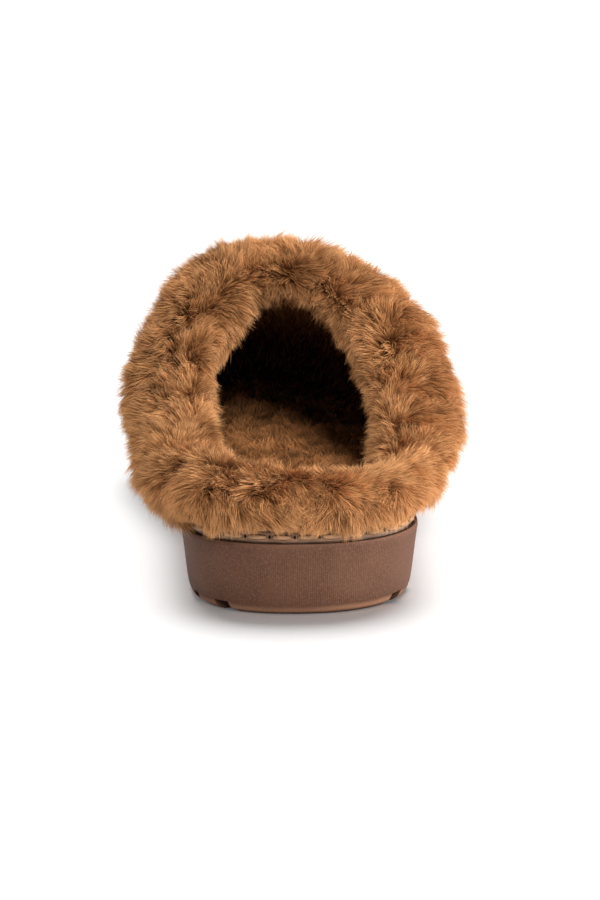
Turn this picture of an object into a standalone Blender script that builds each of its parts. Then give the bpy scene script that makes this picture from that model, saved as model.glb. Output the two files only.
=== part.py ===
"""Clog slipper for the right foot: moulded cup sole, suede upper, fur cuff and insole.

The tables and functions work in millimetres and the scene in metres. The toe points along +Y,
the outer side of the foot along +X, and the sole stands on Z = 0. A turn is an angle around the
collar's upright axis: 0 at the heel, a quarter at the outer side, a half at the toe.
"""

import math
import random
from collections import namedtuple
from functools import lru_cache

import bmesh
import bpy
import numpy as np
from mathutils import Matrix, Vector

OBJECT_NAME = "clog_slipper"
MM = 0.001

# Driving dimensions
SOLE_LENGTH = 262.0
BALL_WIDTH = 97.0
HEEL_WIDTH = 75.0
INSTEP_HEIGHT = 78.0
HEEL_HEIGHT = 23.0
RIM_AT_HEEL = 38.0

# Thicknesses and clearances
WALL = 2.2
GAP = 0.3
SLOT_GAP = 0.45
LIP_WIDTH = 2.2
INSOLE_THICKNESS = 6.0

# The collar's axis in plan, and how much lower its outer side lies than its inner side
AXIS = np.array([-3.0, 84.0])
RIM_TILT = 0.09

# Round ends of the plan: length of each end and how square its curve is
HEEL_END = 41.0
TOE_END = 66.0
END_POWER = 2.3

# How square the last's sections are towards the instep, and how far they lean to the inner side
CROWN_POWER = 2.2
LEAN = 0.09

# Fineness of the meshes and of the curves they are read from
COLUMNS = 60
RIM_WEIGHT = 0.35
BODY_ROWS = 7
ROW_CROWDING = 1.7
WALL_STEPS = 120
END_STEPS = 90
SIDE_STEPS = 160
TURN_STEPS = 360
HALVINGS = 40
SMALLEST_SHARE = 0.02
SHARP_DEGREES = 40

# Small steps used to measure a surface's direction
TURN_STEP = 0.01
DEPTH_STEP = 0.5
FOLD_STEP = 3

# Plan of the sole's lip. Along is a share of the length, the widths are shares of the ball width.
Plan = namedtuple("Plan", "name along swing medial lateral")
HEEL_SHARE = HEEL_WIDTH / (2 * BALL_WIDTH)
PLAN = (
    Plan("heel back", 0.00, -0.025, HEEL_SHARE, HEEL_SHARE),
    Plan("heel", 0.17, 0.000, HEEL_SHARE, HEEL_SHARE),
    Plan("waist", 0.42, 0.000, 0.395, 0.412),
    Plan("outer joint", 0.63, -0.014, 0.470, 0.490),
    Plan("ball", 0.72, -0.025, 0.500, 0.485),
    Plan("toes", 0.86, -0.065, 0.480, 0.455),
    Plan("tip", 1.00, -0.085, 0.450, 0.420),
)

# Side profile. Floor and lip are shares of the heel height, the last is a share of the instep, and
# the shoulder says how square the last's sections are towards their edge.
Profile = namedtuple("Profile", "name along ground floor lip last shoulder")
PROFILE = (
    Profile("heel back", 0.00, 0.0, 0.65, 1.00, 1.26, 2.6),
    Profile("heel breast", 0.30, 0.0, 0.62, 0.94, 1.18, 2.4),
    Profile("throat", 0.43, 3.0, 0.61, 0.91, 1.00, 2.2),
    Profile("tread start", 0.54, 0.0, 0.57, 0.89, 0.86, 2.2),
    Profile("ball", 0.72, 0.0, 0.52, 0.86, 0.68, 2.3),
    Profile("tread end", 0.79, 0.0, 0.54, 0.89, 0.62, 2.4),
    Profile("toes", 0.90, 3.2, 0.66, 1.01, 0.54, 2.6),
    Profile("tip", 1.00, 8.5, 0.86, 1.22, 0.48, 2.6),
)

# Height of the upper's rim above its height at the heel, along the side of the shoe.
Rim = namedtuple("Rim", "along climb")
RIM = (
    Rim(0.00, 0.0),
    Rim(0.14, 3.0),
    Rim(0.26, 12.0),
    Rim(0.34, 26.0),
    Rim(0.40, 40.0),
    Rim(0.45, 50.0),
    Rim(0.56, 64.0),
)

# Side of the sole from the tread up. Height is a share, inset is measured in from the lip.
Step = namedtuple("Step", "name height inset")
SOLE_SIDE = (
    Step("tread edge", 0.00, 5.2),
    Step("bevel", 0.06, 3.4),
    Step("bevel top", 0.17, 2.5),
    Step("wall foot", 0.34, 1.9),
    Step("wall", 0.68, 1.0),
    Step("lip foot", 0.94, 0.2),
    Step("lip edge", 1.00, 0.7),
    Step("lip inside", 1.00, LIP_WIDTH),
)
INSOLE_SIDE = (
    Step("underside", 0.00, 0.2),
    Step("side", 0.45, 0.9),
    Step("round", 0.85, 2.2),
    Step("top", 1.00, 4.2),
)
# Rings that fill a flat face, as shares of the way from the collar's axis to its edge
DISC_SHARES = (0.22, 0.44, 0.66, 0.85)

# Cross grooves of the tread, counted from the heel.
Groove = namedtuple("Groove", "name start pitch count")
GROOVES = (
    Groove("heel", 15.0, 14.0, 5),
    Groove("forefoot", 147.0, 13.0, 6),
)
GROOVE_WIDTH = 4.6
GROOVE_DEPTH = 3.2
GROOVE_REACH = 130.0
GROOVE_SLANT = 9

# Fur cuff around the whole turn, in degrees: how far it rises over the rim, stands off outside and
# inside the wall, and hangs down outside.
Fold = namedtuple("Fold", "turn rise outside inside drop")
FOLD = (
    Fold(0, 8.0, 10.5, 10.5, 12.5),
    Fold(30, 8.0, 9.0, 10.5, 9.0),
    Fold(45, 8.3, 14.0, 9.0, 10.0),
    Fold(60, 8.8, 19.5, 7.5, 13.0),
    Fold(75, 9.3, 21.5, 7.0, 18.0),
    Fold(105, 10.0, 21.5, 7.5, 25.6),
    Fold(135, 10.2, 17.5, 8.0, 29.4),
    Fold(150, 10.2, 14.0, 8.0, 30.6),
    Fold(180, 9.0, 12.5, 10.5, 32.0),
    Fold(200, 9.3, 13.5, 12.5, 31.4),
    Fold(225, 9.6, 16.0, 14.0, 29.4),
    Fold(255, 10.0, 19.0, 7.5, 25.6),
    Fold(272, 9.8, 21.5, 6.2, 22.0),
    Fold(300, 8.8, 19.5, 7.4, 18.3),
    Fold(330, 8.0, 16.5, 9.8, 16.0),
    Fold(345, 8.0, 15.0, 10.5, 15.0),
    Fold(360, 8.0, 10.5, 10.5, 12.5),
)
# The fur is widest at FOLD_SAG of its drop, and hangs less far inside than outside. LEVELS are the
# shares of the drop where the upper has rows of points, so that the slot lies along it.
FOLD_SAG = 0.25
INNER_DROP = 2 / 3
LEVELS = (0.0, 1 / 3, 2 / 3, 1.0)
SECTION_DEGREES = (0, 24, 48, 72, 96, 122, 150, 180, 212, 240, 268, 298, 330, 360)

# Locks of the cuff: each row has its roots at one place around the fold and its tips at another.
LockRow = namedtuple("LockRow", "root tip count girth lift")
LOCK_ROWS = (
    LockRow(84, 42, 22, 4.6, 3.0),
    LockRow(122, 78, 22, 4.6, 3.2),
    LockRow(162, 120, 18, 4.4, 3.2),
    LockRow(206, 248, 14, 3.4, 2.4),
)
LOCK_SIDES = 5
LOCK_TIP = 0.18
LOCK_WIDE = 1.25
LOCK_THIN = 0.65
LOCK_SINK = 0.5
LOCK_SHIFT = 0.12
LOCK_LIFTS = (0.8, 1.25)
LOCK_SEED = 7

Finish = namedtuple("Finish", "name colour roughness")
RUBBER = Finish("sole_rubber", (0.165, 0.083, 0.054), 0.62)
SUEDE = Finish("upper_suede", (0.33, 0.18, 0.105), 0.9)
PILE = Finish("insole_pile", (0.17, 0.066, 0.022), 0.95)
FUR = Finish("cuff_fur", (0.3, 0.12, 0.045), 0.95)


def curve_through(places, values):
    """Smooth function through a table's rows that never swings past them."""
    x = np.asarray(places, float)
    y = np.asarray(values, float)
    run = np.diff(x)
    rise = np.diff(y) / run
    slope = np.concatenate([rise[:1], np.zeros(len(rise) - 1), rise[-1:]])
    for k in range(1, len(rise)):
        before, after = rise[k - 1], rise[k]
        if before * after > 0:
            slope[k] = 2 * before * after / (before + after)

    def value(at):
        at = np.clip(at, x[0], x[-1])
        k = np.clip(np.searchsorted(x, at) - 1, 0, len(run) - 1)
        t = (at - x[k]) / run[k]
        start = y[k] * (1 + 2 * t) * (1 - t) ** 2 + slope[k] * run[k] * t * (1 - t) ** 2
        end = y[k + 1] * t * t * (3 - 2 * t) + slope[k + 1] * run[k] * t * t * (t - 1)
        return start + end

    return value


def column(table, name, size=1.0):
    """One column of a table of stations, as a function of the distance from the heel."""
    places = [row.along * SOLE_LENGTH for row in table]
    return curve_through(places, [getattr(row, name) * size for row in table])


swing = column(PLAN, "swing", BALL_WIDTH)
medial = column(PLAN, "medial", BALL_WIDTH)
lateral = column(PLAN, "lateral", BALL_WIDTH)
ground = column(PROFILE, "ground")
floor = column(PROFILE, "floor", HEEL_HEIGHT)
lip = column(PROFILE, "lip", HEEL_HEIGHT)
last_height = column(PROFILE, "last", INSTEP_HEIGHT)
shoulder = column(PROFILE, "shoulder")
rim_climb = column(RIM, "climb")


def into_ends(along, inset):
    """How far a place lies into the heel's or the toe's round end, from 0 to 1."""
    heel = (HEEL_END - along) / (HEEL_END - inset)
    toe = (along - SOLE_LENGTH + TOE_END) / (TOE_END - inset)
    return np.clip(np.maximum(heel, toe), 0, 1)


def plan_side(width, sign, inset):
    """One side of the plan from heel to toe, closing as a superellipse at both ends."""
    quarter = np.linspace(0, math.pi / 2, END_STEPS)
    heel = HEEL_END - (HEEL_END - inset) * np.cos(quarter)
    middle = np.linspace(HEEL_END, SOLE_LENGTH - TOE_END, SIDE_STEPS)[1:-1]
    toe = SOLE_LENGTH - TOE_END + (TOE_END - inset) * np.sin(quarter)
    along = np.concatenate([heel, middle, toe])
    closing = (1 - into_ends(along, inset) ** END_POWER) ** (1 / END_POWER)
    return np.column_stack([swing(along) + sign * (width(along) - inset) * closing, along])


@lru_cache(maxsize=None)
def plan_at(inset):
    """The plan set in by a distance, as turns and radii around the collar's axis."""
    outer = plan_side(lateral, 1, inset)
    inner = plan_side(medial, -1, inset)
    offset = np.concatenate([outer[:-1], inner[:0:-1]]) - AXIS
    turns = np.mod(np.arctan2(offset[:, 0], -offset[:, 1]), 2 * math.pi)
    order = np.argsort(turns)
    return turns[order], np.linalg.norm(offset, axis=1)[order]


def plan_point(turn, inset, share=1.0):
    """A place in plan: a share of the way from the collar's axis to the set-in plan."""
    turns, radii = plan_at(inset)
    reach = share * np.interp(turn, turns, radii, period=2 * math.pi)
    return AXIS[0] + reach * np.sin(turn), AXIS[1] - reach * np.cos(turn)


def last_point(turn, share):
    """The upper's outer face: a place in plan, raised to the section of the last there."""
    inset = LIP_WIDTH + GAP
    x, y = plan_point(turn, inset, share)
    aside = x - swing(y)
    width = np.where(aside > 0, lateral(y), medial(y)) - inset
    edge = (np.abs(aside / width) ** END_POWER + into_ends(y, inset) ** END_POWER) ** (1 / END_POWER)
    rise = last_height(y) * np.clip(1 - edge ** shoulder(y), 0, 1) ** (1 / CROWN_POWER)
    lean = LEAN * rise * rise / INSTEP_HEIGHT
    return np.stack([x - lean, y, floor(y) + GAP + rise], axis=-1)


def rim_share(turn):
    """The share at which the last meets the rim's height, found by halving."""
    low, high = SMALLEST_SHARE, 1.0
    for _ in range(HALVINGS):
        share = (low + high) / 2
        x, y, z = last_point(turn, share)
        if z > RIM_AT_HEEL + rim_climb(y) - RIM_TILT * x:
            low = share
        else:
            high = share
    return (low + high) / 2


class Wall:
    """The upper's outer face at one turn, measured down from the rim to the sole's cup."""

    def __init__(self, turn):
        start = rim_share(turn)
        shares = start + (1 - start) * np.sin(np.linspace(0, math.pi / 2, WALL_STEPS))
        self.points = last_point(turn, shares)
        hops = np.linalg.norm(np.diff(self.points, axis=0), axis=1)
        self.depths = np.concatenate([[0.0], np.cumsum(hops)])
        self.height = self.depths[-1]
        self.up = (self.points[0] - self.points[1]) / hops[0]

    def at(self, depth):
        point = np.array([np.interp(depth, self.depths, axis) for axis in self.points.T])
        return point + self.up * max(-depth, 0.0)


@lru_cache(maxsize=None)
def wall(turn):
    return Wall(turn)


def off_wall(turn, out, depth):
    """A point at a depth below the rim and a distance out from the upper's outer face."""
    here = wall(turn)
    around = wall(turn + TURN_STEP).at(depth) - wall(turn - TURN_STEP).at(depth)
    upward = here.at(depth - DEPTH_STEP) - here.at(depth + DEPTH_STEP)
    normal = np.cross(around, upward)
    return here.at(depth) + out * normal / np.linalg.norm(normal)


fold_degrees = [row.turn for row in FOLD]
fold_curves = {
    name: curve_through(fold_degrees, [getattr(row, name) for row in FOLD])
    for name in ("rise", "outside", "inside", "drop")
}


def fold(turn, name):
    return float(fold_curves[name](math.degrees(turn) % 360))


def cuff_point(turn, degrees):
    """The fur's face: 0 at the outer hem, half a turn at the crest, a whole one at the inner hem."""
    angle = math.radians(degrees)
    outside = degrees <= 180
    drop = fold(turn, "drop") * (1 if outside else INNER_DROP)
    middle = FOLD_SAG * drop
    reach = drop - middle if math.cos(angle) > 0 else fold(turn, "rise") + middle
    depth = middle + reach * math.cos(angle)
    if outside:
        out = max(SLOT_GAP, fold(turn, "outside") * math.sin(angle))
    else:
        out = -WALL - max(SLOT_GAP, -fold(turn, "inside") * math.sin(angle))
    return off_wall(turn, -WALL / 2 if degrees == 180 else out, depth)


def cuff_section(turn):
    """The closed outline of the cuff at one turn, with the slot that takes the upper's edge."""
    drop = fold(turn, "drop")
    face = [cuff_point(turn, degrees) for degrees in SECTION_DEGREES]
    inner_slot = [off_wall(turn, -WALL - SLOT_GAP, drop * LEVELS[1])]
    top_slot = [off_wall(turn, out, -SLOT_GAP) for out in (-WALL - SLOT_GAP, SLOT_GAP)]
    outer_slot = [off_wall(turn, SLOT_GAP, drop * level) for level in LEVELS[1:3]]
    return face + inner_slot + top_slot + outer_slot


def spread_turns(count, rim_weight):
    """Turns spaced evenly along a mix of the rim's length and the plan's length."""
    fine = np.linspace(0, 2 * math.pi, TURN_STEPS + 1)
    rim = np.array([wall(turn).points[0] for turn in fine])
    plan = np.column_stack(plan_point(fine, LIP_WIDTH + GAP))
    lengths = []
    for path in (rim, plan):
        hops = np.linalg.norm(np.diff(path, axis=0), axis=1)
        lengths.append(np.concatenate([[0.0], np.cumsum(hops)]) / hops.sum())
    mixed = rim_weight * lengths[0] + (1 - rim_weight) * lengths[1]
    return [float(turn) for turn in np.interp(np.arange(count) / count, mixed, fine)]


def loft(rings, bottom=None, top=None, ring_closed=False):
    """A mesh through rings of points, closed by a point at each end or back on itself."""
    mesh = bmesh.new()
    loops = [[mesh.verts.new(Vector(point) * MM) for point in ring] for ring in rings]
    pairs = list(zip(loops, loops[1:]))
    if ring_closed:
        pairs.append((loops[-1], loops[0]))
    for lower, upper in pairs:
        for k in range(len(lower)):
            after = (k + 1) % len(lower)
            mesh.faces.new((lower[k], lower[after], upper[after], upper[k]))
    for pole, loop in ((bottom, loops[0]), (top, loops[-1])):
        if pole is None:
            continue
        tip = mesh.verts.new(Vector(pole) * MM)
        for k in range(len(loop)):
            mesh.faces.new((loop[k], loop[(k + 1) % len(loop)], tip))
    bmesh.ops.recalc_face_normals(mesh, faces=mesh.faces)
    bmesh.ops.triangulate(mesh, faces=mesh.faces, quad_method="SHORT_EDGE")
    return mesh


def add_object(name, mesh, collection, finish=None):
    """A named object from a finished bmesh, shaded smooth with its sharp edges kept."""
    data = bpy.data.meshes.new(name)
    mesh.to_mesh(data)
    mesh.free()
    data.shade_smooth()
    data.set_sharp_from_angle(angle=math.radians(SHARP_DEGREES))
    piece = bpy.data.objects.new(name, data)
    collection.objects.link(piece)
    if finish:
        data.materials.append(make_material(finish))
    return piece


def make_material(finish):
    material = bpy.data.materials.new(finish.name)
    material.use_nodes = True
    shader = material.node_tree.nodes["Principled BSDF"]
    shader.inputs["Base Color"].default_value = (*finish.colour, 1.0)
    shader.inputs["Roughness"].default_value = finish.roughness
    shader.inputs["Metallic"].default_value = 0.0
    return material


def add_boolean(piece, cutter, operation):
    """A Boolean with a helper object that is left out of the finished part."""
    cutter.hide_render = True
    cutter.display_type = "WIRE"
    modifier = piece.modifiers.new(cutter.name, "BOOLEAN")
    modifier.operation = operation
    modifier.solver = "EXACT"
    modifier.use_self = operation == "UNION"
    modifier.object = cutter


def side_rings(turns, steps, inset, low, high):
    """Rings up the side of a flat piece between two heights, set in by its table of steps."""
    rings = []
    for step in steps:
        places = [plan_point(turn, inset + step.inset) for turn in turns]
        rings.append([(x, y, low(y) + step.height * (high(y) - low(y))) for x, y in places])
    return rings


def disc_rings(turns, inset, height):
    """Rings that fill a face from its middle out to just inside its edge."""
    rings = []
    for share in DISC_SHARES:
        places = [plan_point(turn, inset, share) for turn in turns]
        rings.append([(x, y, height(y)) for x, y in places])
    return rings


def build_sole(turns, collection, cutters):
    tread_inset = SOLE_SIDE[0].inset
    rings = disc_rings(turns, tread_inset, ground)
    rings += side_rings(turns, SOLE_SIDE, 0.0, ground, lip)
    rings += side_rings(turns, [Step("cup floor", 0.0, LIP_WIDTH)], 0.0, floor, lip)
    rings += reversed(disc_rings(turns, LIP_WIDTH, floor))
    mesh = loft(rings, bottom=(*AXIS, ground(AXIS[1])), top=(*AXIS, floor(AXIS[1])))
    sole = add_object("sole", mesh, collection, RUBBER)
    add_boolean(sole, build_grooves(cutters), "DIFFERENCE")
    return sole


def build_grooves(cutters):
    """Straight slanting bars across the tread, each half sunk into it and following the toe spring."""
    mesh = bmesh.new()
    for row in GROOVES:
        for k in range(row.count):
            along = row.start + k * row.pitch
            pitch = math.atan2(float(ground(along + 1) - ground(along - 1)), 2.0)
            place = Matrix.Translation(Vector((0, along, float(ground(along)))) * MM)
            turned = Matrix.Rotation(pitch, 4, "X") @ Matrix.Rotation(math.radians(GROOVE_SLANT), 4, "Z")
            size = Matrix.Diagonal((GROOVE_REACH * MM, GROOVE_WIDTH * MM, 2 * GROOVE_DEPTH * MM, 1))
            bmesh.ops.create_cube(mesh, matrix=place @ turned @ size)
    return add_object("tread_grooves", mesh, cutters)


def build_upper(turns, collection):
    """The wall as an open surface: rows under the cuff, then rows that crowd towards the sole."""
    rows = []
    for turn in turns:
        drop = fold(turn, "drop")
        depths = [drop * level for level in LEVELS]
        shares = 1 - (1 - np.arange(1, BODY_ROWS + 1) / BODY_ROWS) ** ROW_CROWDING
        depths += list(drop + shares * (wall(turn).height - drop))
        rows.append([wall(turn).at(depth) for depth in depths])
    rings = list(zip(*rows))
    upper = add_object("upper", loft(rings), collection, SUEDE)
    shell = upper.modifiers.new("wall", "SOLIDIFY")
    shell.thickness = WALL * MM
    shell.offset = -1.0
    return upper


def build_insole(turns, collection):
    inset = LIP_WIDTH + WALL + 2 * GAP

    def low(y):
        return floor(y) + GAP

    def high(y):
        return floor(y) + GAP + INSOLE_THICKNESS

    rings = disc_rings(turns, inset + INSOLE_SIDE[0].inset, low)
    rings += side_rings(turns, INSOLE_SIDE, inset, low, high)
    rings += reversed(disc_rings(turns, inset + INSOLE_SIDE[-1].inset, high))
    mesh = loft(rings, bottom=(*AXIS, low(AXIS[1])), top=(*AXIS, high(AXIS[1])))
    return add_object("insole", mesh, collection, PILE)


def build_cuff(turns, collection, cutters):
    rings = list(zip(*[cuff_section(turn) for turn in turns]))
    cuff = add_object("fur_cuff", loft(rings, ring_closed=True), collection, FUR)
    add_boolean(cuff, build_locks(cutters), "UNION")
    return cuff


def cuff_normal(turn, degrees):
    """The direction out of the fur's face."""
    tipward = cuff_point(turn, degrees - FOLD_STEP) - cuff_point(turn, degrees + FOLD_STEP)
    around = cuff_point(turn + TURN_STEP, degrees) - cuff_point(turn - TURN_STEP, degrees)
    return Vector(np.cross(tipward, around)).normalized()


def build_locks(cutters):
    """Flat tapered locks along the pile, each from a root in the fur to a tip raised off it."""
    chance = random.Random(LOCK_SEED)
    mesh = bmesh.new()
    flat = Matrix.Diagonal((LOCK_WIDE, LOCK_THIN, 1, 1))
    for index, row in enumerate(LOCK_ROWS):
        spacing = 2 * math.pi / row.count
        for turn in spread_turns(row.count, 1.0):
            turn += (0.5 * (index % 2) + chance.uniform(-LOCK_SHIFT, LOCK_SHIFT)) * spacing
            out = cuff_normal(turn, row.root)
            root = Vector(cuff_point(turn, row.root)) - out * LOCK_SINK * row.girth
            lift = row.lift * chance.uniform(*LOCK_LIFTS)
            tip = Vector(cuff_point(turn, row.tip)) + cuff_normal(turn, row.tip) * lift
            along = (tip - root).normalized()
            across = along.cross(out).normalized()
            turned = Matrix((across, across.cross(along), along)).transposed().to_4x4()
            place = Matrix.Translation((root + tip) / 2 * MM) @ turned @ flat
            bmesh.ops.create_cone(mesh, cap_ends=True, segments=LOCK_SIDES, matrix=place,
                                  radius1=row.girth * MM, radius2=row.girth * LOCK_TIP * MM,
                                  depth=(tip - root).length * MM)
    return add_object("cuff_locks", mesh, cutters)


def stand_on_origin(pieces):
    """A parent that puts the middle of the slipper's box over the origin."""
    bpy.context.view_layer.update()
    graph = bpy.context.evaluated_depsgraph_get()
    corners = [corner for piece in pieces for corner in piece.evaluated_get(graph).bound_box]
    low = np.min(corners, axis=0)
    high = np.max(corners, axis=0)
    middle = bpy.data.objects.new("slipper_origin", None)
    middle.location = (-(low[0] + high[0]) / 2, -(low[1] + high[1]) / 2, -low[2])
    return middle


def main():
    for old in list(bpy.data.objects):
        bpy.data.objects.remove(old, do_unlink=True)
    parts = bpy.data.collections.new(OBJECT_NAME)
    cutters = bpy.data.collections.new("cutters")
    for collection in (parts, cutters):
        bpy.context.scene.collection.children.link(collection)
    turns = spread_turns(COLUMNS, RIM_WEIGHT)
    pieces = [
        build_sole(turns, parts, cutters),
        build_upper(turns, parts),
        build_insole(turns, parts),
        build_cuff(turns, parts, cutters),
    ]
    middle = stand_on_origin(pieces)
    parts.objects.link(middle)
    for piece in pieces + list(cutters.objects):
        piece.parent = middle


main()
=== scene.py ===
"""Looks of a clog slipper: moulded sole, suede upper, stitches, fur cuff, fur lining and insole.

The tables and functions work in millimetres and the scene in metres. The toe points along +Y and
the outer side of the foot along +X. A turn is an angle around the collar's upright axis: 0 at the
heel, a quarter at the outer side, a half at the toe.
"""

import math
from collections import namedtuple
from functools import lru_cache

import bmesh
import bpy
import numpy as np
from bpy.props import FloatProperty, FloatVectorProperty, IntProperty, PointerProperty
from mathutils import Matrix, Vector


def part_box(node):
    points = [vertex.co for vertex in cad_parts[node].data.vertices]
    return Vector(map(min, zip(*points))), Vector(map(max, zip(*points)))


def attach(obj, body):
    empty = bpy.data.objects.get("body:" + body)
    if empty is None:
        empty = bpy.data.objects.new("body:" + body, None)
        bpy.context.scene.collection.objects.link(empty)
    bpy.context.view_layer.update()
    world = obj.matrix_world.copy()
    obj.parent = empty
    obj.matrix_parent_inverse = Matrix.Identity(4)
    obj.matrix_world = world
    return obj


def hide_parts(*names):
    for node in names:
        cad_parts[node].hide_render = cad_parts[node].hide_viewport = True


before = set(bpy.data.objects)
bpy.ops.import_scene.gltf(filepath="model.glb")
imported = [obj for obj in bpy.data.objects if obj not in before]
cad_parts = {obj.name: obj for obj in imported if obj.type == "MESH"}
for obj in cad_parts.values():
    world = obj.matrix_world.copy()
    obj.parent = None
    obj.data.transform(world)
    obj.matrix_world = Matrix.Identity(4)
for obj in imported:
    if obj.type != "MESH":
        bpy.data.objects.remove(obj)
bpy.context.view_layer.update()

bl_info = {
    "name": "Clog Slipper",
    "version": (1, 0, 0),
    "blender": (4, 5, 0),
    "location": "View3D > Sidebar > Slipper",
    "description": "Builds the sole, upper, fur and stitches of a clog slipper, and its stage",
    "category": "Add Mesh",
}

MM = 0.001
FULL_TURN = 2 * math.pi

# Driving dimensions of the part
SOLE_LENGTH = 262.0
BALL_WIDTH = 97.0
HEEL_WIDTH = 75.0
INSTEP_HEIGHT = 78.0
HEEL_HEIGHT = 23.0
RIM_AT_HEEL = 38.0
WALL = 2.2
GAP = 0.3
SLOT_GAP = 0.45
LIP_WIDTH = 2.2
INSOLE_THICKNESS = 6.0
AXIS = np.array([-3.0, 84.0])
RIM_TILT = 0.09
HEEL_END = 41.0
TOE_END = 66.0
END_POWER = 2.3
CROWN_POWER = 2.2
LEAN = 0.09
SMALLEST_SHARE = 0.02
HALVINGS = 40

Plan = namedtuple("Plan", "name along swing medial lateral")
HEEL_SHARE = HEEL_WIDTH / (2 * BALL_WIDTH)
PLAN = (
    Plan("heel back", 0.00, -0.025, HEEL_SHARE, HEEL_SHARE),
    Plan("heel", 0.17, 0.000, HEEL_SHARE, HEEL_SHARE),
    Plan("waist", 0.42, 0.000, 0.395, 0.412),
    Plan("outer joint", 0.63, -0.014, 0.470, 0.490),
    Plan("ball", 0.72, -0.025, 0.500, 0.485),
    Plan("toes", 0.86, -0.065, 0.480, 0.455),
    Plan("tip", 1.00, -0.085, 0.450, 0.420),
)

Profile = namedtuple("Profile", "name along ground floor lip last shoulder")
PROFILE = (
    Profile("heel back", 0.00, 0.0, 0.65, 1.00, 1.26, 2.6),
    Profile("heel breast", 0.30, 0.0, 0.62, 0.94, 1.18, 2.4),
    Profile("throat", 0.43, 3.0, 0.61, 0.91, 1.00, 2.2),
    Profile("tread start", 0.54, 0.0, 0.57, 0.89, 0.86, 2.2),
    Profile("ball", 0.72, 0.0, 0.52, 0.86, 0.68, 2.3),
    Profile("tread end", 0.79, 0.0, 0.54, 0.89, 0.62, 2.4),
    Profile("toes", 0.90, 3.2, 0.66, 1.01, 0.54, 2.6),
    Profile("tip", 1.00, 8.5, 0.86, 1.22, 0.48, 2.6),
)

Rim = namedtuple("Rim", "along climb")
RIM = (
    Rim(0.00, 0.0),
    Rim(0.14, 3.0),
    Rim(0.26, 12.0),
    Rim(0.34, 26.0),
    Rim(0.40, 40.0),
    Rim(0.45, 50.0),
    Rim(0.56, 64.0),
)

Step = namedtuple("Step", "name height inset")
SOLE_SIDE = (
    Step("tread edge", 0.00, 5.2),
    Step("bevel", 0.06, 3.4),
    Step("bevel top", 0.17, 2.5),
    Step("wall foot", 0.34, 1.9),
    Step("wall", 0.68, 1.0),
    Step("lip foot", 0.94, 0.2),
)
SOLE_HEIGHTS = (0, 0.012, 0.03, 0.06, 0.1, 0.14, 0.18, 0.24, 0.31, 0.4, 0.5, 0.6, 0.7, 0.8, 0.88, 0.94)
LIP_STEPS = (
    Step("lip round", 0.972, 0.25),
    Step("lip shoulder", 0.992, 0.5),
    Step("lip top", 1.0, 0.95),
    Step("lip flat", 1.0, LIP_WIDTH - 0.5),
    Step("lip inside", 0.985, LIP_WIDTH - 0.1),
)
INSOLE_SIDE = (
    Step("underside", 0.00, 0.2),
    Step("side", 0.45, 0.9),
    Step("round", 0.85, 2.2),
    Step("top", 1.00, 4.2),
)
DISC_SHARES = (0.15, 0.3, 0.44, 0.58, 0.7, 0.8, 0.89, 0.95)

Groove = namedtuple("Groove", "name start pitch count")
GROOVES = (
    Groove("heel", 15.0, 14.0, 5),
    Groove("forefoot", 147.0, 13.0, 6),
)
GROOVE_WIDTH = 4.6
GROOVE_DEPTH = 3.2
GROOVE_REACH = 130.0
GROOVE_SLANT = 9

Fold = namedtuple("Fold", "turn rise outside inside drop")
FOLD = (
    Fold(0, 8.0, 10.5, 10.5, 12.5),
    Fold(30, 8.0, 9.0, 10.5, 9.0),
    Fold(45, 8.3, 14.0, 9.0, 10.0),
    Fold(60, 8.8, 19.5, 7.5, 13.0),
    Fold(75, 9.3, 21.5, 7.0, 18.0),
    Fold(105, 10.0, 21.5, 7.5, 25.6),
    Fold(135, 10.2, 17.5, 8.0, 29.4),
    Fold(150, 10.2, 14.0, 8.0, 30.6),
    Fold(180, 9.0, 12.5, 10.5, 32.0),
    Fold(200, 9.3, 13.5, 12.5, 31.4),
    Fold(225, 9.6, 16.0, 14.0, 29.4),
    Fold(255, 10.0, 19.0, 7.5, 25.6),
    Fold(272, 9.8, 21.5, 6.2, 22.0),
    Fold(300, 8.8, 19.5, 7.4, 18.3),
    Fold(330, 8.0, 16.5, 9.8, 16.0),
    Fold(345, 8.0, 15.0, 10.5, 15.0),
    Fold(360, 8.0, 10.5, 10.5, 12.5),
)
FOLD_SAG = 0.25
INNER_DROP = 2 / 3

# Hair along the outer hem: its share of the length elsewhere, and where it ends above the sole's lip
HemHair = namedtuple("HemHair", "turn share over")
HEM_HAIR = (
    HemHair(0, 0.5, 0.4),
    HemHair(20, 0.75, 0.4),
    HemHair(50, 0.7, 0.4),
    HemHair(90, 0.5, 0.4),
    HemHair(270, 0.5, 0.4),
    HemHair(290, 0.9, -3.0),
    HemHair(310, 1.2, -5.0),
    HemHair(326, 1.3, -5.0),
    HemHair(335, 1.2, -3.0),
    HemHair(340, 0.4, 2.0),
    HemHair(346, 0.3, 2.0),
    HemHair(353, 0.3, 0.8),
    HemHair(360, 0.5, 0.4),
)

# Smooth drifts of the pile: longest and shortest waves, and how much each one changes
Drift = namedtuple("Drift", "name seed longest shortest amount")
CUFF_DRIFTS = (
    Drift("parting, in degrees", 20, 45, 18, 22),
    Drift("lie", 21, 20, 9, 0.35),
    Drift("fine lie", 22, 8, 4, 0.2),
    Drift("swirl", 23, 22, 9, 0.62),
    Drift("fine swirl", 24, 8, 4, 0.4),
    Drift("length", 25, 14, 6, 0.08),
)
CUFF_PATCHES = Drift("tone", 26, 26, 9, 0.05)
LINING_SWIRL = Drift("swirl", 31, 30, 10, 0.4)
INSOLE_LIE = Drift("lie, in radians", 41, 26, 9, 2.2)
INSOLE_GROWTH = Drift("length", 42, 18, 8, 0.15)
INSOLE_MOTTLE = Drift("tone", 43, 26, 9, 0.3)
WAVES = 7

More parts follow.
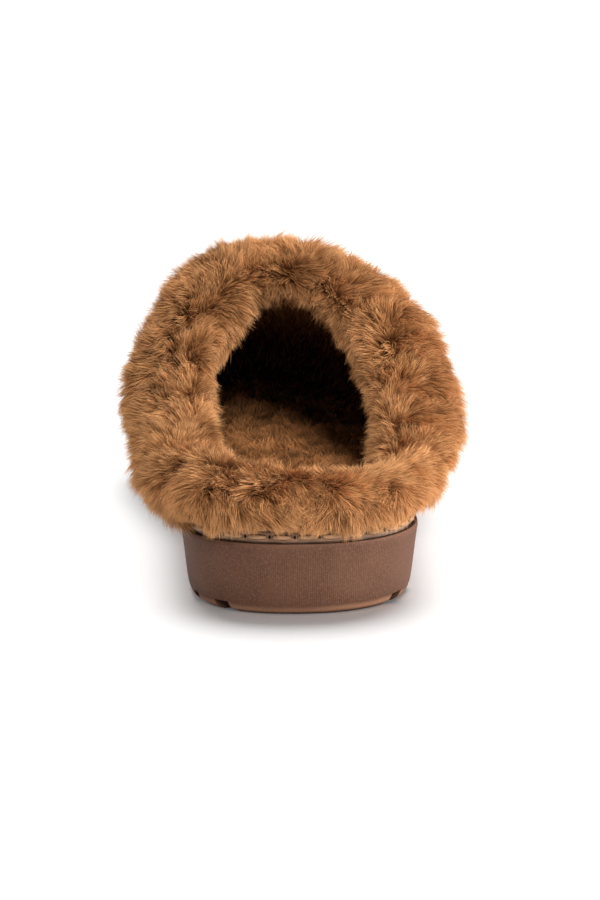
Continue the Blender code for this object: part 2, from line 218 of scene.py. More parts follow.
# The way of a hair at its root and at its tip: out, along the lie of the pile, around and astray
Way = namedtuple("Way", "out lie swirl stray")
CUFF_WAYS = (Way(0.9, 0.38, 0.25, 0.5), Way(0.36, 0.6, 0.75, 1.0))
LINING_WAYS = (Way(0.9, 0.3, 0.0, 1.0), Way(0.35, 0.8, 1.0, 1.0))
INSOLE_WAYS = (Way(0.95, 0.3, 0.0, 1.0), Way(0.4, 0.75, 0.0, 1.0))

# How strongly hairs are drawn to their leader, and how late along their length
Draw = namedtuple("Draw", "strength power")
LOCK_TO_TUFT = Draw(0.25, 1.4)
HAIR_TO_LOCK = Draw(0.46, 1.1)
INSOLE_TO_LOCK = Draw(0.5, 1.2)

# A hair's taper, and the margin and the width of its strip in the map
HAIR_TAPER = 0.75
TAPER_POWER = 1.5
MAP_MARGIN = 0.005
MAP_STRIP = 0.012

# The cuff's fur, with places across the fold in degrees from the outer hem
CUFF_SEED = 11
SKIN_COLUMNS = 180
SKIN_STEPS = 49
SITE_LEVELS = (4, 352)
SITE_JITTER = 0.35
PARTING_SPAN = 45
LEAST_LIE = 0.2
OUTER_HEM = 95
OUTER_HEM_SPAN = 85
INNER_HEM = 220
INNER_HEM_SPAN = 60
INNER_HEM_LOSS = 0.2
TIP_SAG = 0.06
RISE_SHARE = 0.63
HAIR_LENGTHS = (0.88, 1.04)
LOCK_REACH = 0.85
STRAYS = {"tuft": 0.28, "lock": 0.36, "hair": 0.24}
# Shares of a hair's tone: the least, random shares by lock and by hair, and painted light that makes the
# outer side paler and the inner side darker
TONES = {"least": 0.2, "lock": 0.4, "hair": 0.2, "outer side": 0.1}
FUR_PIECES = ("fur_outer_back", "fur_outer_side", "fur_front", "fur_inner_side", "fur_inner_back")

# The lining's fur, from its start below the rim to its end above the cup's floor, with the spread of
# its hairs in turn and in depth
LINING_SEED = 12
LINING_COLUMNS = 150
LINING_PITCH = 3.4
LINING_START = 4.0
LINING_END = 7.0
LINING_HAIRS = 8
LINING_SPREAD = (0.03, 1.6)
LINING_OFF = 0.1
LINING_STRAY = 0.22
LINING_LENGTHS = (5.0, 7.5)
LINING_WIDTH = 0.7

# The insole's pile, in locks on staggered rows that are a share of the pitch apart
INSOLE_SEED = 13
INSOLE_COLUMNS = 160
INSOLE_PITCH = 3.0
ROW_SHARE = 0.87
INSOLE_REACH = 54
INSOLE_START = 4
INSOLE_JITTER = 0.9
INSOLE_MARGIN = 2.0
INSOLE_HAIRS = 18
INSOLE_SPREAD = 0.45
INSOLE_PILE = 5.5
INSOLE_SINK = 0.4
INSOLE_LENGTHS = (0.8, 1.15)
INSOLE_STRAYS = {"lock": 0.25, "hair": 0.14}

# Soft creases across the forefoot, each from one place in plan to another
Crease = namedtuple("Crease", "start end width depth")
CREASES = (
    Crease((-36, 150), (20, 164), 4.5, 0.8),
    Crease((-20, 172), (34, 160), 5.0, 0.7),
    Crease((-40, 166), (-10, 178), 4.0, 0.6),
    Crease((38, 140), (12, 152), 4.0, 0.6),
)
CREASE_BOW = 2.0
CREASE_FADE = 0.25
CREASE_RIDGE = 0.5

# The stitched band of the upper: heights above the sole's lip, the run of its edges, and how far it
# stands out
BAND_LOW = 0.5
BAND_HIGH = 3.2
BAND_FOOT = 0.5
BAND_EDGE = 0.35
BAND_OUT = 1.0

# Rows of the upper, by what is left of its wall: evenly spaced at first, then close for the band
UPPER_ROWS = 30
CLOSE_FROM = 16.0
CLOSE_ROWS = (*np.linspace(CLOSE_FROM, 6, 41), 4.5, 3, 1.5, 0.0)

# A stitch: points from one to the next and those that its bar passes; the bar's sides, rise and
# thickness from its ends to its middle, and flatness; the half sizes of the needle hole and of the
# dent under the bar, both painted dark as shade, along, up and out, and how deep both sit
STITCH_POINTS = 24
BAR_POINTS = range(3, 22, 3)
BAR_SIDES = 8
BAR_RISE = (0.1, 0.45)
BAR_THICKNESS = (0.42, 0.7)
BAR_FLATNESS = 0.7
HOLE_SIZE = (0.45, 0.65, 0.3)
DENT_SIZE = (3.2, 0.98, 0.12)
HOLE_SINK = 0.05

# The stage's floor, in metres, and its lights: spread in degrees, and the way to each one
FLOOR_REACH = 8.0
Lamp = namedtuple("Lamp", "name spread source on_floor")
LAMPS = (
    Lamp("top", 46, (0.08, 0.85, 1.0), True),
    Lamp("key", 14, (0.12, -1.0, 0.58), False),
    Lamp("side", 40, (1.0, -0.2, 0.5), False),
)


class SoleSettings(bpy.types.PropertyGroup):
    columns: IntProperty(name="Columns", description="Points around the sole", default=320, min=60)
    rib_pitch: FloatProperty(name="Rib pitch", description="Distance between the fine ribs of the wall",
                             default=0.00068, unit="LENGTH")
    wall: FloatVectorProperty(name="Wall", description="Colour of the sole's wall",
                              default=(0.108, 0.047, 0.027), subtype="COLOR", size=3)
    tread: FloatVectorProperty(name="Tread", description="Colour of the tread and of the lower edge",
                               default=(0.37, 0.187, 0.108), subtype="COLOR", size=3)
    dust: FloatVectorProperty(name="Dust", description="Colour of the pale specks in the wall",
                              default=(0.2, 0.108, 0.07), subtype="COLOR", size=3)


class UpperSettings(bpy.types.PropertyGroup):
    columns: IntProperty(name="Columns", description="Points around the upper", default=280, min=60)
    suede: FloatVectorProperty(name="Suede", description="Colour of the suede",
                               default=(0.33, 0.18, 0.105), subtype="COLOR", size=3)
    thread: FloatVectorProperty(name="Thread", description="Colour of the stitches",
                                default=(0.45, 0.25, 0.135), subtype="COLOR", size=3)
    stitch_pitch: FloatProperty(name="Stitch pitch", description="Distance from one stitch to the next",
                                default=0.0075, unit="LENGTH")


class FurSettings(bpy.types.PropertyGroup):
    depth: FloatProperty(name="Depth", description="Height of the fur over its skin",
                         default=0.0055, unit="LENGTH")
    lock_pitch: FloatProperty(name="Lock pitch", description="Distance between small locks of hair",
                              default=0.0017, unit="LENGTH")
    tuft_pitch: FloatProperty(name="Tuft pitch", description="Distance between large tufts",
                              default=0.0065, unit="LENGTH")
    hairs: IntProperty(name="Hairs", description="Hairs in one small lock", default=20, min=3)
    width: FloatProperty(name="Width", description="Width of a hair at its root",
                         default=0.00026, unit="LENGTH")
    # The root colour is partly the fur's own and partly painted shade deep in the pile; the skins under the
    # hair take it too.
    root: FloatVectorProperty(name="Root", description="Colour of the fur at its roots",
                              default=(0.115, 0.04, 0.009), subtype="COLOR", size=3)
    middle: FloatVectorProperty(name="Middle", description="Colour of the fur half way up",
                                default=(0.44, 0.19, 0.068), subtype="COLOR", size=3)
    tip: FloatVectorProperty(name="Tip", description="Colour of the fur at its tips",
                             default=(0.84, 0.452, 0.193), subtype="COLOR", size=3)


class StageSettings(bpy.types.PropertyGroup):
    azimuth: FloatProperty(name="Azimuth", description="Camera's way round the slipper",
                           default=math.radians(-2.5), subtype="ANGLE")
    elevation: FloatProperty(name="Elevation", description="Camera's height as an angle",
                             default=math.radians(11.5), subtype="ANGLE")
    distance: FloatProperty(name="Distance", description="From the camera to what it looks at",
                            default=1.3, unit="LENGTH")
    lens: FloatProperty(name="Lens", description="Focal length in millimetres", default=156.0)
    target: FloatVectorProperty(name="Target", description="Place the camera looks at",
                                default=(0.0038, -0.010, 0.029), subtype="XYZ", unit="LENGTH", size=3)
    sky: FloatProperty(name="Sky", description="Strength of the even white light", default=0.4)
    top: FloatProperty(name="Top", description="Strength of the light on the floor from above", default=3.05)
    key: FloatProperty(name="Key", description="Strength of the light on the slipper from behind the camera",
                       default=1.9)
    side: FloatProperty(name="Side", description="Strength of the light on the slipper from the right",
                        default=4.3)


def curve_through(places, values):
    """Smooth function through a table's rows that never swings past them."""
    x = np.asarray(places, float)
    y = np.asarray(values, float)
    run = np.diff(x)
    rise = np.diff(y) / run
    slope = np.concatenate([rise[:1], np.zeros(len(rise) - 1), rise[-1:]])
    for k in range(1, len(rise)):
        before, after = rise[k - 1], rise[k]
        if before * after > 0:
            slope[k] = 2 * before * after / (before + after)

    def value(at):
        at = np.clip(at, x[0], x[-1])
        k = np.clip(np.searchsorted(x, at) - 1, 0, len(run) - 1)
        t = (at - x[k]) / run[k]
        start = y[k] * (1 + 2 * t) * (1 - t) ** 2 + slope[k] * run[k] * t * (1 - t) ** 2
        end = y[k + 1] * t * t * (3 - 2 * t) + slope[k + 1] * run[k] * t * t * (t - 1)
        return start + end

    return value


def column(table, name, size=1.0):
    """One column of a table of stations, as a function of the distance from the heel."""
    places = [row.along * SOLE_LENGTH for row in table]
    return curve_through(places, [getattr(row, name) * size for row in table])


swing = column(PLAN, "swing", BALL_WIDTH)
medial = column(PLAN, "medial", BALL_WIDTH)
lateral = column(PLAN, "lateral", BALL_WIDTH)
ground = column(PROFILE, "ground")
floor = column(PROFILE, "floor", HEEL_HEIGHT)
lip = column(PROFILE, "lip", HEEL_HEIGHT)
last_height = column(PROFILE, "last", INSTEP_HEIGHT)
shoulder = column(PROFILE, "shoulder")
rim_climb = column(RIM, "climb")
sole_inset = curve_through([step.height for step in SOLE_SIDE], [step.inset for step in SOLE_SIDE])
fold_curves = {
    name: curve_through([row.turn for row in FOLD], [getattr(row, name) for row in FOLD])
    for name in ("rise", "outside", "inside", "drop")
}
hem_share = curve_through([row.turn for row in HEM_HAIR], [row.share for row in HEM_HAIR])
hem_over = curve_through([row.turn for row in HEM_HAIR], [row.over for row in HEM_HAIR])


def unit(vectors):
    return vectors / np.maximum(np.linalg.norm(vectors, axis=-1, keepdims=True), 1e-9)


def ease(value):
    """Smooth step from 0 to 1."""
    value = np.clip(value, 0, 1)
    return value * value * (3 - 2 * value)


def into_ends(along, inset):
    """How far a place lies into the heel's or the toe's round end, from 0 to 1."""
    heel = (HEEL_END - along) / (HEEL_END - inset)
    toe = (along - SOLE_LENGTH + TOE_END) / (TOE_END - inset)
    return np.clip(np.maximum(heel, toe), 0, 1)


def plan_side(width, sign, inset):
    """One side of the plan from heel to toe, closing as a superellipse at both ends."""
    quarter = np.linspace(0, math.pi / 2, 90)
    heel = HEEL_END - (HEEL_END - inset) * np.cos(quarter)
    middle = np.linspace(HEEL_END, SOLE_LENGTH - TOE_END, 160)[1:-1]
    toe = SOLE_LENGTH - TOE_END + (TOE_END - inset) * np.sin(quarter)
    along = np.concatenate([heel, middle, toe])
    closing = (1 - into_ends(along, inset) ** END_POWER) ** (1 / END_POWER)
    return np.column_stack([swing(along) + sign * (width(along) - inset) * closing, along])


@lru_cache(maxsize=None)
def plan_at(inset):
    """The plan set in by a distance, as turns and radii around the collar's axis."""
    outer = plan_side(lateral, 1, inset)
    inner = plan_side(medial, -1, inset)
    offset = np.concatenate([outer[:-1], inner[:0:-1]]) - AXIS
    turns = np.mod(np.arctan2(offset[:, 0], -offset[:, 1]), FULL_TURN)
    order = np.argsort(turns)
    return turns[order], np.linalg.norm(offset, axis=1)[order]


def plan_point(turn, inset, share=1.0):
    """A place in plan: a share of the way from the collar's axis to the set-in plan."""
    turns, radii = plan_at(inset)
    reach = share * np.interp(turn, turns, radii, period=FULL_TURN)
    return AXIS[0] + reach * np.sin(turn), AXIS[1] - reach * np.cos(turn)


def last_point(turn, share):
    """The upper's outer face: a place in plan, raised to the section of the last there."""
    inset = LIP_WIDTH + GAP
    x, y = plan_point(turn, inset, share)
    aside = x - swing(y)
    width = np.where(aside > 0, lateral(y), medial(y)) - inset
    edge = (np.abs(aside / width) ** END_POWER + into_ends(y, inset) ** END_POWER) ** (1 / END_POWER)
    rise = last_height(y) * np.clip(1 - edge ** shoulder(y), 0, 1) ** (1 / CROWN_POWER)
    lean = LEAN * rise * rise / INSTEP_HEIGHT
    return np.stack([x - lean, y, floor(y) + GAP + rise], axis=-1)


def read_grid(grid, turn, level):
    """Values between the entries of a table whose rows are turns and whose columns are levels."""
    place = np.mod(turn, FULL_TURN) / FULL_TURN * len(grid)
    left = np.floor(place).astype(int) % len(grid)
    right = (left + 1) % len(grid)
    across = (place - np.floor(place))[..., None]
    level = np.clip(level, 0, grid.shape[1] - 1.001)
    low = np.floor(level).astype(int)
    up = (level - low)[..., None]
    first = grid[left, low] * (1 - across) + grid[right, low] * across
    second = grid[left, low + 1] * (1 - across) + grid[right, low + 1] * across
    return first * (1 - up) + second * up


class WallTable:
    """The upper's outer face at many turns, measured down from the rim to the sole's cup."""

    TURNS = 720
    TOP = -26.0
    HOP = 0.5

    def __init__(self):
        turns = np.arange(self.TURNS) * FULL_TURN / self.TURNS
        low = np.full(self.TURNS, SMALLEST_SHARE)
        high = np.ones(self.TURNS)
        for _ in range(HALVINGS):
            share = (low + high) / 2
            x, y, z = last_point(turns, share).T
            above = z > RIM_AT_HEEL + rim_climb(y) - RIM_TILT * x
            low = np.where(above, share, low)
            high = np.where(above, high, share)
        start = ((low + high) / 2)[:, None]
        shares = start + (1 - start) * np.sin(np.linspace(0, math.pi / 2, 120))
        paths = last_point(turns[:, None], shares)
        hops = np.linalg.norm(np.diff(paths, axis=1), axis=2)
        depths = np.concatenate([np.zeros((self.TURNS, 1)), np.cumsum(hops, axis=1)], axis=1)
        self.heights = depths[:, -1]
        levels = np.arange(self.TOP, self.heights.max() + self.HOP, self.HOP)
        rows = []
        for path, depth, hop in zip(paths, depths, hops):
            upward = (path[0] - path[1]) / hop[0]
            points = np.column_stack([np.interp(levels, depth, axis) for axis in path.T])
            rows.append(points + np.maximum(-levels, 0)[:, None] * upward)
        self.points = np.array(rows)

    def at(self, turn, depth):
        """Points at turns and at depths below the rim."""
        turn, depth = np.broadcast_arrays(turn, depth)
        return read_grid(self.points, turn, (depth - self.TOP) / self.HOP)

    def height(self, turn):
        """The length of the wall from the rim to the cup."""
        turns = np.arange(self.TURNS) * FULL_TURN / self.TURNS
        return np.interp(np.mod(turn, FULL_TURN), turns, self.heights, period=FULL_TURN)


walls = WallTable()


def off_wall(turn, out, depth):
    """A point at a depth below the rim and a distance out from the upper's outer face, and the way out."""
    around = walls.at(turn + 0.01, depth) - walls.at(turn - 0.01, depth)
    upward = walls.at(turn, depth - 0.5) - walls.at(turn, depth + 0.5)
    normal = unit(np.cross(around, upward))
    return walls.at(turn, depth) + np.asarray(out)[..., None] * normal, normal


def fold(turn, name):
    return fold_curves[name](np.degrees(turn) % 360)


def cuff_point(turn, degrees, sink=0.0):
    """The fur's face, or its skin below that: 0 at the outer hem, 180 at the crest, 360 at the inner hem."""
    turn, degrees = np.broadcast_arrays(np.asarray(turn, float), np.asarray(degrees, float))
    angle = np.radians(degrees)
    outer = degrees <= 180
    drop = (fold(turn, "drop") - 0.25 * sink) * np.where(outer, 1, INNER_DROP)
    middle = FOLD_SAG * drop
    rise = np.maximum(fold(turn, "rise") - 0.8 * sink, 2.0)
    reach = np.where(np.cos(angle) > 0, drop - middle, rise + middle)
    depth = middle + reach * np.cos(angle)
    swell = np.maximum(fold(turn, "outside") - sink, 3.0) + WALL / 2
    hollow = np.maximum(fold(turn, "inside") - sink, 3.0) + WALL / 2
    out = -WALL / 2 + np.where(outer, swell, hollow) * np.sin(angle)
    out = np.where(degrees < 90, np.maximum(out, SLOT_GAP), out)
    out = np.where(degrees > 270, np.minimum(out, -WALL - SLOT_GAP), out)
    return off_wall(turn, out, depth)[0]


def even_turns(count, inset):
    """Turns spaced evenly along the plan, starting at the heel, and their distances along it."""
    fine = np.linspace(0, FULL_TURN, 1441)
    path = np.column_stack(plan_point(fine, inset))
    lengths = np.concatenate([[0.0], np.cumsum(np.linalg.norm(np.diff(path, axis=0), axis=1))])
    places = np.arange(count + 1) / count * lengths[-1]
    return np.interp(places, lengths, fine)[:-1], places


def frame_shift():
    """From the tables' heel-based places to the frame's origin, read from the sole's box."""
    low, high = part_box("sole")
    inset = SOLE_SIDE[-1].inset
    x = np.concatenate([plan_side(lateral, 1, inset)[:, 0], plan_side(medial, -1, inset)[:, 0]])
    return np.array([
        (low.x + high.x) / 2 / MM - (x.min() + x.max()) / 2,
        (low.y + high.y) / 2 / MM - SOLE_LENGTH / 2,
        low.z / MM,
    ])


SHIFT = frame_shift()


def to_scene(points):
    return (np.asarray(points, float) + SHIFT) * MM


def add_object(name, data):
    """A new object in the scene."""
    made = bpy.data.objects.new(name, data)
    bpy.context.scene.collection.objects.link(made)
    return made


def loft(name, rings, bottom=None, top=None, ring_closed=False, measures=None):
    """An object through rings of points, with a map of lengths around and heights where given."""
    rings = [np.asarray(ring, float) for ring in rings]
    count = len(rings[0])
    points = np.concatenate(rings)
    faces = []
    corners = []
    pairs = [(k, k + 1) for k in range(len(rings) - 1)]
    if ring_closed:
        pairs.append((len(rings) - 1, 0))
    for low, high in pairs:
        for k in range(count):
            after = (k + 1) % count
            faces.append((low * count + k, low * count + after, high * count + after, high * count + k))
            corners += [(low, k), (low, k + 1), (high, k + 1), (high, k)]
    for pole, ring in ((bottom, 0), (top, len(rings) - 1)):
        if pole is None:
            continue
        points = np.vstack([points, np.asarray(pole, float)])
        for k in range(count):
            faces.append((ring * count + k, ring * count + (k + 1) % count, len(points) - 1))
            corners += [(ring, k), (ring, k + 1), (ring, k)]
    data = bpy.data.meshes.new(name)
    data.from_pydata(to_scene(points), [], faces)
    if measures is not None:
        around, heights = measures
        layer = data.uv_layers.new(name="measure")
        values = [(around[k], heights[ring]) for ring, k in corners]
        layer.data.foreach_set("uv", np.array(values, np.float32).ravel())
    solid = bmesh.new()
    solid.from_mesh(data)
    bmesh.ops.recalc_face_normals(solid, faces=solid.faces)
    solid.to_mesh(data)
    solid.free()
    data.shade_smooth()
    return add_object(name, data)


def add_blanks(data):
    """Two stand-in materials, so that a modifier keeps the faces' numbers."""
    for _ in range(2):
        data.materials.append(bpy.data.materials.new("blank"))


def settle(piece, slot, *finishes, replaces=None):
    """Gives a finished piece its materials, by its faces' numbers, and puts it on the slipper."""
    numbers = np.zeros(len(piece.data.polygons), np.int32)
    piece.data.polygons.foreach_get("material_index", numbers)
    piece.data.materials.clear()
    for finish in finishes:
        piece.data.materials.append(finish.material)
    piece.data.polygons.foreach_set("material_index", numbers)
    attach(piece, "root")
    if replaces:
        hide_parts(replaces)


def apply_modifiers(piece):
    """The piece's shape with its modifiers worked in."""
    graph = bpy.context.evaluated_depsgraph_get()
    shaped = bpy.data.meshes.new_from_object(piece.evaluated_get(graph), depsgraph=graph)
    piece.modifiers.clear()
    old = piece.data
    piece.data = shaped
    bpy.data.meshes.remove(old)


class Value:
    """A shader's socket that takes part in Python expressions."""

    def __init__(self, finish, socket):
        self.finish = finish
        self.socket = socket

    def maths(self, operation, *others):
        sockets = dict(enumerate((self, *others)))
        return self.finish.node("ShaderNodeMath", {"operation": operation}, sockets)

    def __add__(self, other):
        return self.maths("ADD", other)

    def __sub__(self, other):
        return self.maths("SUBTRACT", other)

    def __mul__(self, other):
        return self.maths("MULTIPLY", other)

    def __rsub__(self, other):
        return self.finish.node("ShaderNodeMath", {"operation": "SUBTRACT"}, {0: other, 1: self})

    __radd__ = __add__
    __rmul__ = __mul__

    def sine(self):
        return self.maths("SINE")

    def between(self, low, high):
        """0 below the low value, 1 above the high one and smooth in between."""
        limits = {"Value": self, "From Min": low, "From Max": high}
        return self.finish.node("ShaderNodeMapRange", {"interpolation_type": "SMOOTHSTEP"}, limits)


class Finish:
    """A material whose nodes are written as expressions."""

    def __init__(self, name, **constants):
        self.material = bpy.data.materials.new(name)
        self.material.use_nodes = True
        self.tree = self.material.node_tree
        self.shader = self.tree.nodes["Principled BSDF"]
        for socket, value in constants.items():
            self.put(self.shader.inputs[socket.replace("_", " ")], value)

    def put(self, socket, value):
        if isinstance(value, Value):
            self.tree.links.new(value.socket, socket)
        elif socket.type == "RGBA" and len(value) == 3:
            socket.default_value = (*value, 1.0)
        else:
            socket.default_value = value

    def node(self, kind, settings=None, sockets=None, output=0):
        """Any node: its settings first, then the values or links of its sockets."""
        made = self.tree.nodes.new(kind)
        for key, value in (settings or {}).items():
            if key == "stops":
                ramp = made.color_ramp.elements
                while len(ramp) < len(value):
                    ramp.new(0.5)
                for stop, (place, colour) in zip(ramp, value):
                    stop.position = place
                    stop.color = (*colour, 1.0)
            else:
                setattr(made, key, value)
        for key, value in (sockets or {}).items():
            self.put(made.inputs[key], value)
        return Value(self, made.outputs[output])

    def noise(self, place, size, detail=2.0):
        """Even noise around a half, with features about this many metres across."""
        sockets = {"Vector": place, "Scale": 1.0 / size, "Detail": detail, "Roughness": 0.6}
        return self.node("ShaderNodeTexNoise", None, sockets)

    def mix(self, share, first, second, blend="MIX"):
        settings = {"data_type": "RGBA", "blend_type": blend}
        return self.node("ShaderNodeMix", settings, {0: share, 6: first, 7: second}, 2)

    def grey(self, value):
        """A value as a grey colour."""
        return self.node("ShaderNodeCombineColor", None, {"Red": value, "Green": value, "Blue": value})

    def place(self):
        return self.node("ShaderNodeTexCoord", output="Object")

    def measure(self, layer):
        """The two lengths of a map on the mesh."""
        both = self.node("ShaderNodeUVMap", {"uv_map": layer})
        parts = {"Vector": both}
        return (self.node("ShaderNodeSeparateXYZ", None, parts, "X"),
                self.node("ShaderNodeSeparateXYZ", None, parts, "Y"))

    def bump(self, height, distance, strength=1.0):
        sockets = {"Height": height, "Distance": distance, "Strength": strength}
        self.put(self.shader.inputs["Normal"], self.node("ShaderNodeBump", None, sockets))

    def paint(self, colour, roughness=None):
        self.put(self.shader.inputs["Base Color"], colour)
        if roughness is not None:
            self.put(self.shader.inputs["Roughness"], roughness)


def shade(colour, factor):
    return tuple(factor * part for part in colour)


def sole_finish(settings):
    """Matt moulded rubber: fine upright ribs on the wall and a paler tread, with a painted highlight along
    the lip and painted shade along the bottom edge and on the lip's flat top.
    """
    finish = Finish("sole_rubber", Specular_IOR_Level=0.15)
    around, height = finish.measure("measure")
    place = finish.place()
    cloud = finish.noise(place, 0.018)
    grain = finish.noise(place, 0.0005, 3.0)
    low_edge = 1 - (height + 0.08 * (cloud - 0.5)).between(0.05, 0.14)
    on_wall = height.between(0.10, 0.16) * (1 - height.between(0.90, 0.935))
    wall = finish.mix(cloud.between(0.35, 0.65), shade(settings.wall, 0.9), shade(settings.wall, 1.1))
    # Painted highlight: a thin paler line on the lip's round top edge.
    wall = finish.mix(height.between(0.955, 0.98) * 0.4, wall, shade(settings.wall, 1.6))
    colour = finish.mix(low_edge, wall, settings.tread)
    ribs = (around * FULL_TURN).sine()
    dust = finish.mix(grain.between(0.42, 0.7) * 0.55, colour, settings.dust)
    ribbed = finish.mix(on_wall * (ribs * 0.5 + 0.5) * 0.13, dust, shade(settings.wall, 0.45))
    # Painted contact shadow: the sole's lowest edge, up to a twentieth of its height, is darkened.
    painted_contact_shadow = height.between(-0.3, 0.0) * (1 - height.between(0.0, 0.05))
    # Painted shade: the lip's flat top, in the gap under the upper's band, is darkened like the bottom edge.
    painted_gap_and_contact_shade = height.between(0.993, 0.999) + 0.8 * painted_contact_shadow
    finish.paint(finish.mix(painted_gap_and_contact_shade, ribbed, shade(settings.wall, 0.2)), 0.52 + 0.22 * grain)
    finish.bump(ribs * on_wall * 0.3 + grain * 0.6, 0.00011)
    return finish


def groove_finish(settings):
    """The tread's grooves, in a dark colour that is painted shade inside them."""
    finish = Finish("sole_groove", Specular_IOR_Level=0.1)
    cloud = finish.noise(finish.place(), 0.004)
    # Painted shade: the grooves take a darker copy of the wall's colour.
    colour = finish.mix(cloud, shade(settings.wall, 0.3), shade(settings.wall, 0.7))
    finish.paint(colour, 0.7 + 0.2 * cloud)
    return finish


def suede_finish(settings):
    """Brushed suede: cloudy nap with a fine tooth."""
    finish = Finish("upper_suede", Sheen_Weight=0.35, Sheen_Roughness=0.5, Specular_IOR_Level=0.2)
    place = finish.place()
    brushed = finish.noise(place, 0.022, 3.0)
    nap = finish.noise(place, 0.0022, 3.0)
    tooth = finish.noise(place, 0.0005, 2.0)
    base = finish.mix(brushed.between(0.35, 0.65), shade(settings.suede, 0.82), shade(settings.suede, 1.15))
    napped = finish.mix(nap.between(0.3, 0.7), shade(settings.suede, 0.86), base)
    finish.paint(napped, 0.86 + 0.1 * tooth)
    finish.bump(0.6 * nap + 0.5 * tooth, 0.00025)
    return finish


def fur_finish(name, settings, tip, brightness=1.0):
    """Hair whose colour runs from root to tip, with a tone of its own for each hair."""
    finish = Finish(name, Roughness=0.7, Specular_IOR_Level=0.12)
    tone, along = finish.measure("OFBake")
    # Darker towards the roots: partly the fur's own colour, partly painted shade deep in the pile.
    stops = [(0.0, shade(settings.root, brightness)), (0.6, shade(settings.middle, brightness)),
             (1.0, shade(tip, brightness))]
    colour = finish.node("ShaderNodeValToRGB", {"stops": stops}, {"Fac": along})
    finish.paint(finish.mix(1.0, colour, finish.grey(0.5 + 0.95 * tone), "MULTIPLY"))
    return finish


def skin_finish(name, colour):
    """The matted ground that the hairs stand on."""
    finish = Finish(name, Roughness=0.95, Specular_IOR_Level=0.1)
    clump = finish.noise(finish.place(), 0.003, 3.0)
    finish.paint(finish.mix(clump.between(0.3, 0.7), shade(colour, 0.6), shade(colour, 1.3)))
    finish.bump(clump, 0.0008)
    return finish


def thread_finish(settings):
    """Twisted sewing thread."""
    finish = Finish("stitch_thread", Specular_IOR_Level=0.3)
    strand = finish.noise(finish.place(), 0.0006, 2.0)
    colour = finish.mix(strand, shade(settings.thread, 0.7), shade(settings.thread, 1.3))
    finish.paint(colour, 0.6 + 0.2 * strand)
    finish.bump(strand, 0.0001)
    return finish


def hole_finish(settings):
    """Painted shade: near-black needle holes and dents under the thread, for the shade in and around the
    stitches.
    """
    finish = Finish("needle_holes", Specular_IOR_Level=0.1)
    cloud = finish.noise(finish.place(), 0.001)
    colour = finish.mix(cloud, shade(settings.suede, 0.04), shade(settings.suede, 0.1))
    finish.paint(colour, 0.8 + 0.1 * cloud)
    return finish


def ring_at(turns, inset, height):
    x, y = plan_point(turns, inset)
    return np.column_stack([x, y, height(y)])


def disc_rings(turns, inset, height):
    """Rings that fill a face from its middle out to just inside its edge."""
    rings = []
    for share in DISC_SHARES:
        x, y = plan_point(turns, inset, share)
        rings.append(np.column_stack([x, y, height(y)]))
    return rings


def build_sole(settings):
    """The cup sole, with its cross grooves cut as they are in the part."""
    turns, lengths = even_turns(settings.columns, 0.0)
    steps = [Step("wall", height, float(sole_inset(height))) for height in SOLE_HEIGHTS] + list(LIP_STEPS)
    rings = disc_rings(turns, SOLE_SIDE[0].inset, ground)
    heights = [-1.0] * len(rings)
    for step in steps:
        rings.append(ring_at(turns, step.inset, lambda y: ground(y) + step.height * (lip(y) - ground(y))))
        heights.append(step.height)
    rings.append(ring_at(turns, LIP_WIDTH, floor))
    rings += reversed(disc_rings(turns, LIP_WIDTH, floor))
    heights += [1.0] * (len(rings) - len(heights))
    ribs = round(lengths[-1] * MM / settings.rib_pitch)
    around = lengths / lengths[-1] * ribs
    sole = loft("sole_cup", rings, bottom=(*AXIS, ground(AXIS[1])), top=(*AXIS, floor(AXIS[1])),
                measures=(around, heights))
    bars = bmesh.new()
    for row in GROOVES:
        for k in range(row.count):
            along = row.start + k * row.pitch
            pitch = math.atan2(float(ground(along + 1) - ground(along - 1)), 2.0)
            place = Matrix.Translation(to_scene((0, along, float(ground(along)))))
            turned = Matrix.Rotation(pitch, 4, "X") @ Matrix.Rotation(math.radians(GROOVE_SLANT), 4, "Z")
            size = Matrix.Diagonal((GROOVE_REACH * MM, GROOVE_WIDTH * MM, 2 * GROOVE_DEPTH * MM, 1))
            bmesh.ops.create_cube(bars, matrix=place @ turned @ size)
    for face in bars.faces:
        face.material_index = 1
    data = bpy.data.meshes.new("groove_bars")
    bars.to_mesh(data)
    bars.free()
    add_blanks(sole.data)
    add_blanks(data)
    cutter = add_object("groove_bars", data)
    cut = sole.modifiers.new("grooves", "BOOLEAN")
    cut.operation = "DIFFERENCE"
    cut.solver = "EXACT"
    cut.object = cutter
    apply_modifiers(sole)
    bpy.data.objects.remove(cutter, do_unlink=True)
    sole.data.set_sharp_from_angle(angle=math.radians(38))
    settle(sole, "sole_rubber", sole_finish(settings), groove_finish(settings), replaces="sole")


def crease_depth(points):
    """How far the forefoot's soft creases sink the suede at these places."""
    sunk = np.zeros(points.shape[:-1])
    for crease in CREASES:
        start = np.array(crease.start, float)
        line = np.array(crease.end, float) - start
        offset = points[..., :2] - start
        along = (offset @ line) / (line @ line)
        across = (offset[..., 0] * line[1] - offset[..., 1] * line[0]) / np.linalg.norm(line)
        across = (across + CREASE_BOW * np.sin(along * math.pi)) / crease.width
        strength = crease.depth * ease(along / CREASE_FADE) * ease((1 - along) / CREASE_FADE)
        sunk += strength * np.exp(-across ** 2)
        sunk -= CREASE_RIDGE * strength * np.exp(-(np.abs(across) - 2) ** 2)
    return sunk


def band_out(points):
    """How far the stitched band stands out where the upper leaves the sole."""
    over = points[..., 2] - lip(points[..., 1])
    low = ease((over - BAND_LOW + BAND_FOOT) / BAND_FOOT)
    return BAND_OUT * low * (1 - ease((over - BAND_HIGH) / BAND_EDGE))


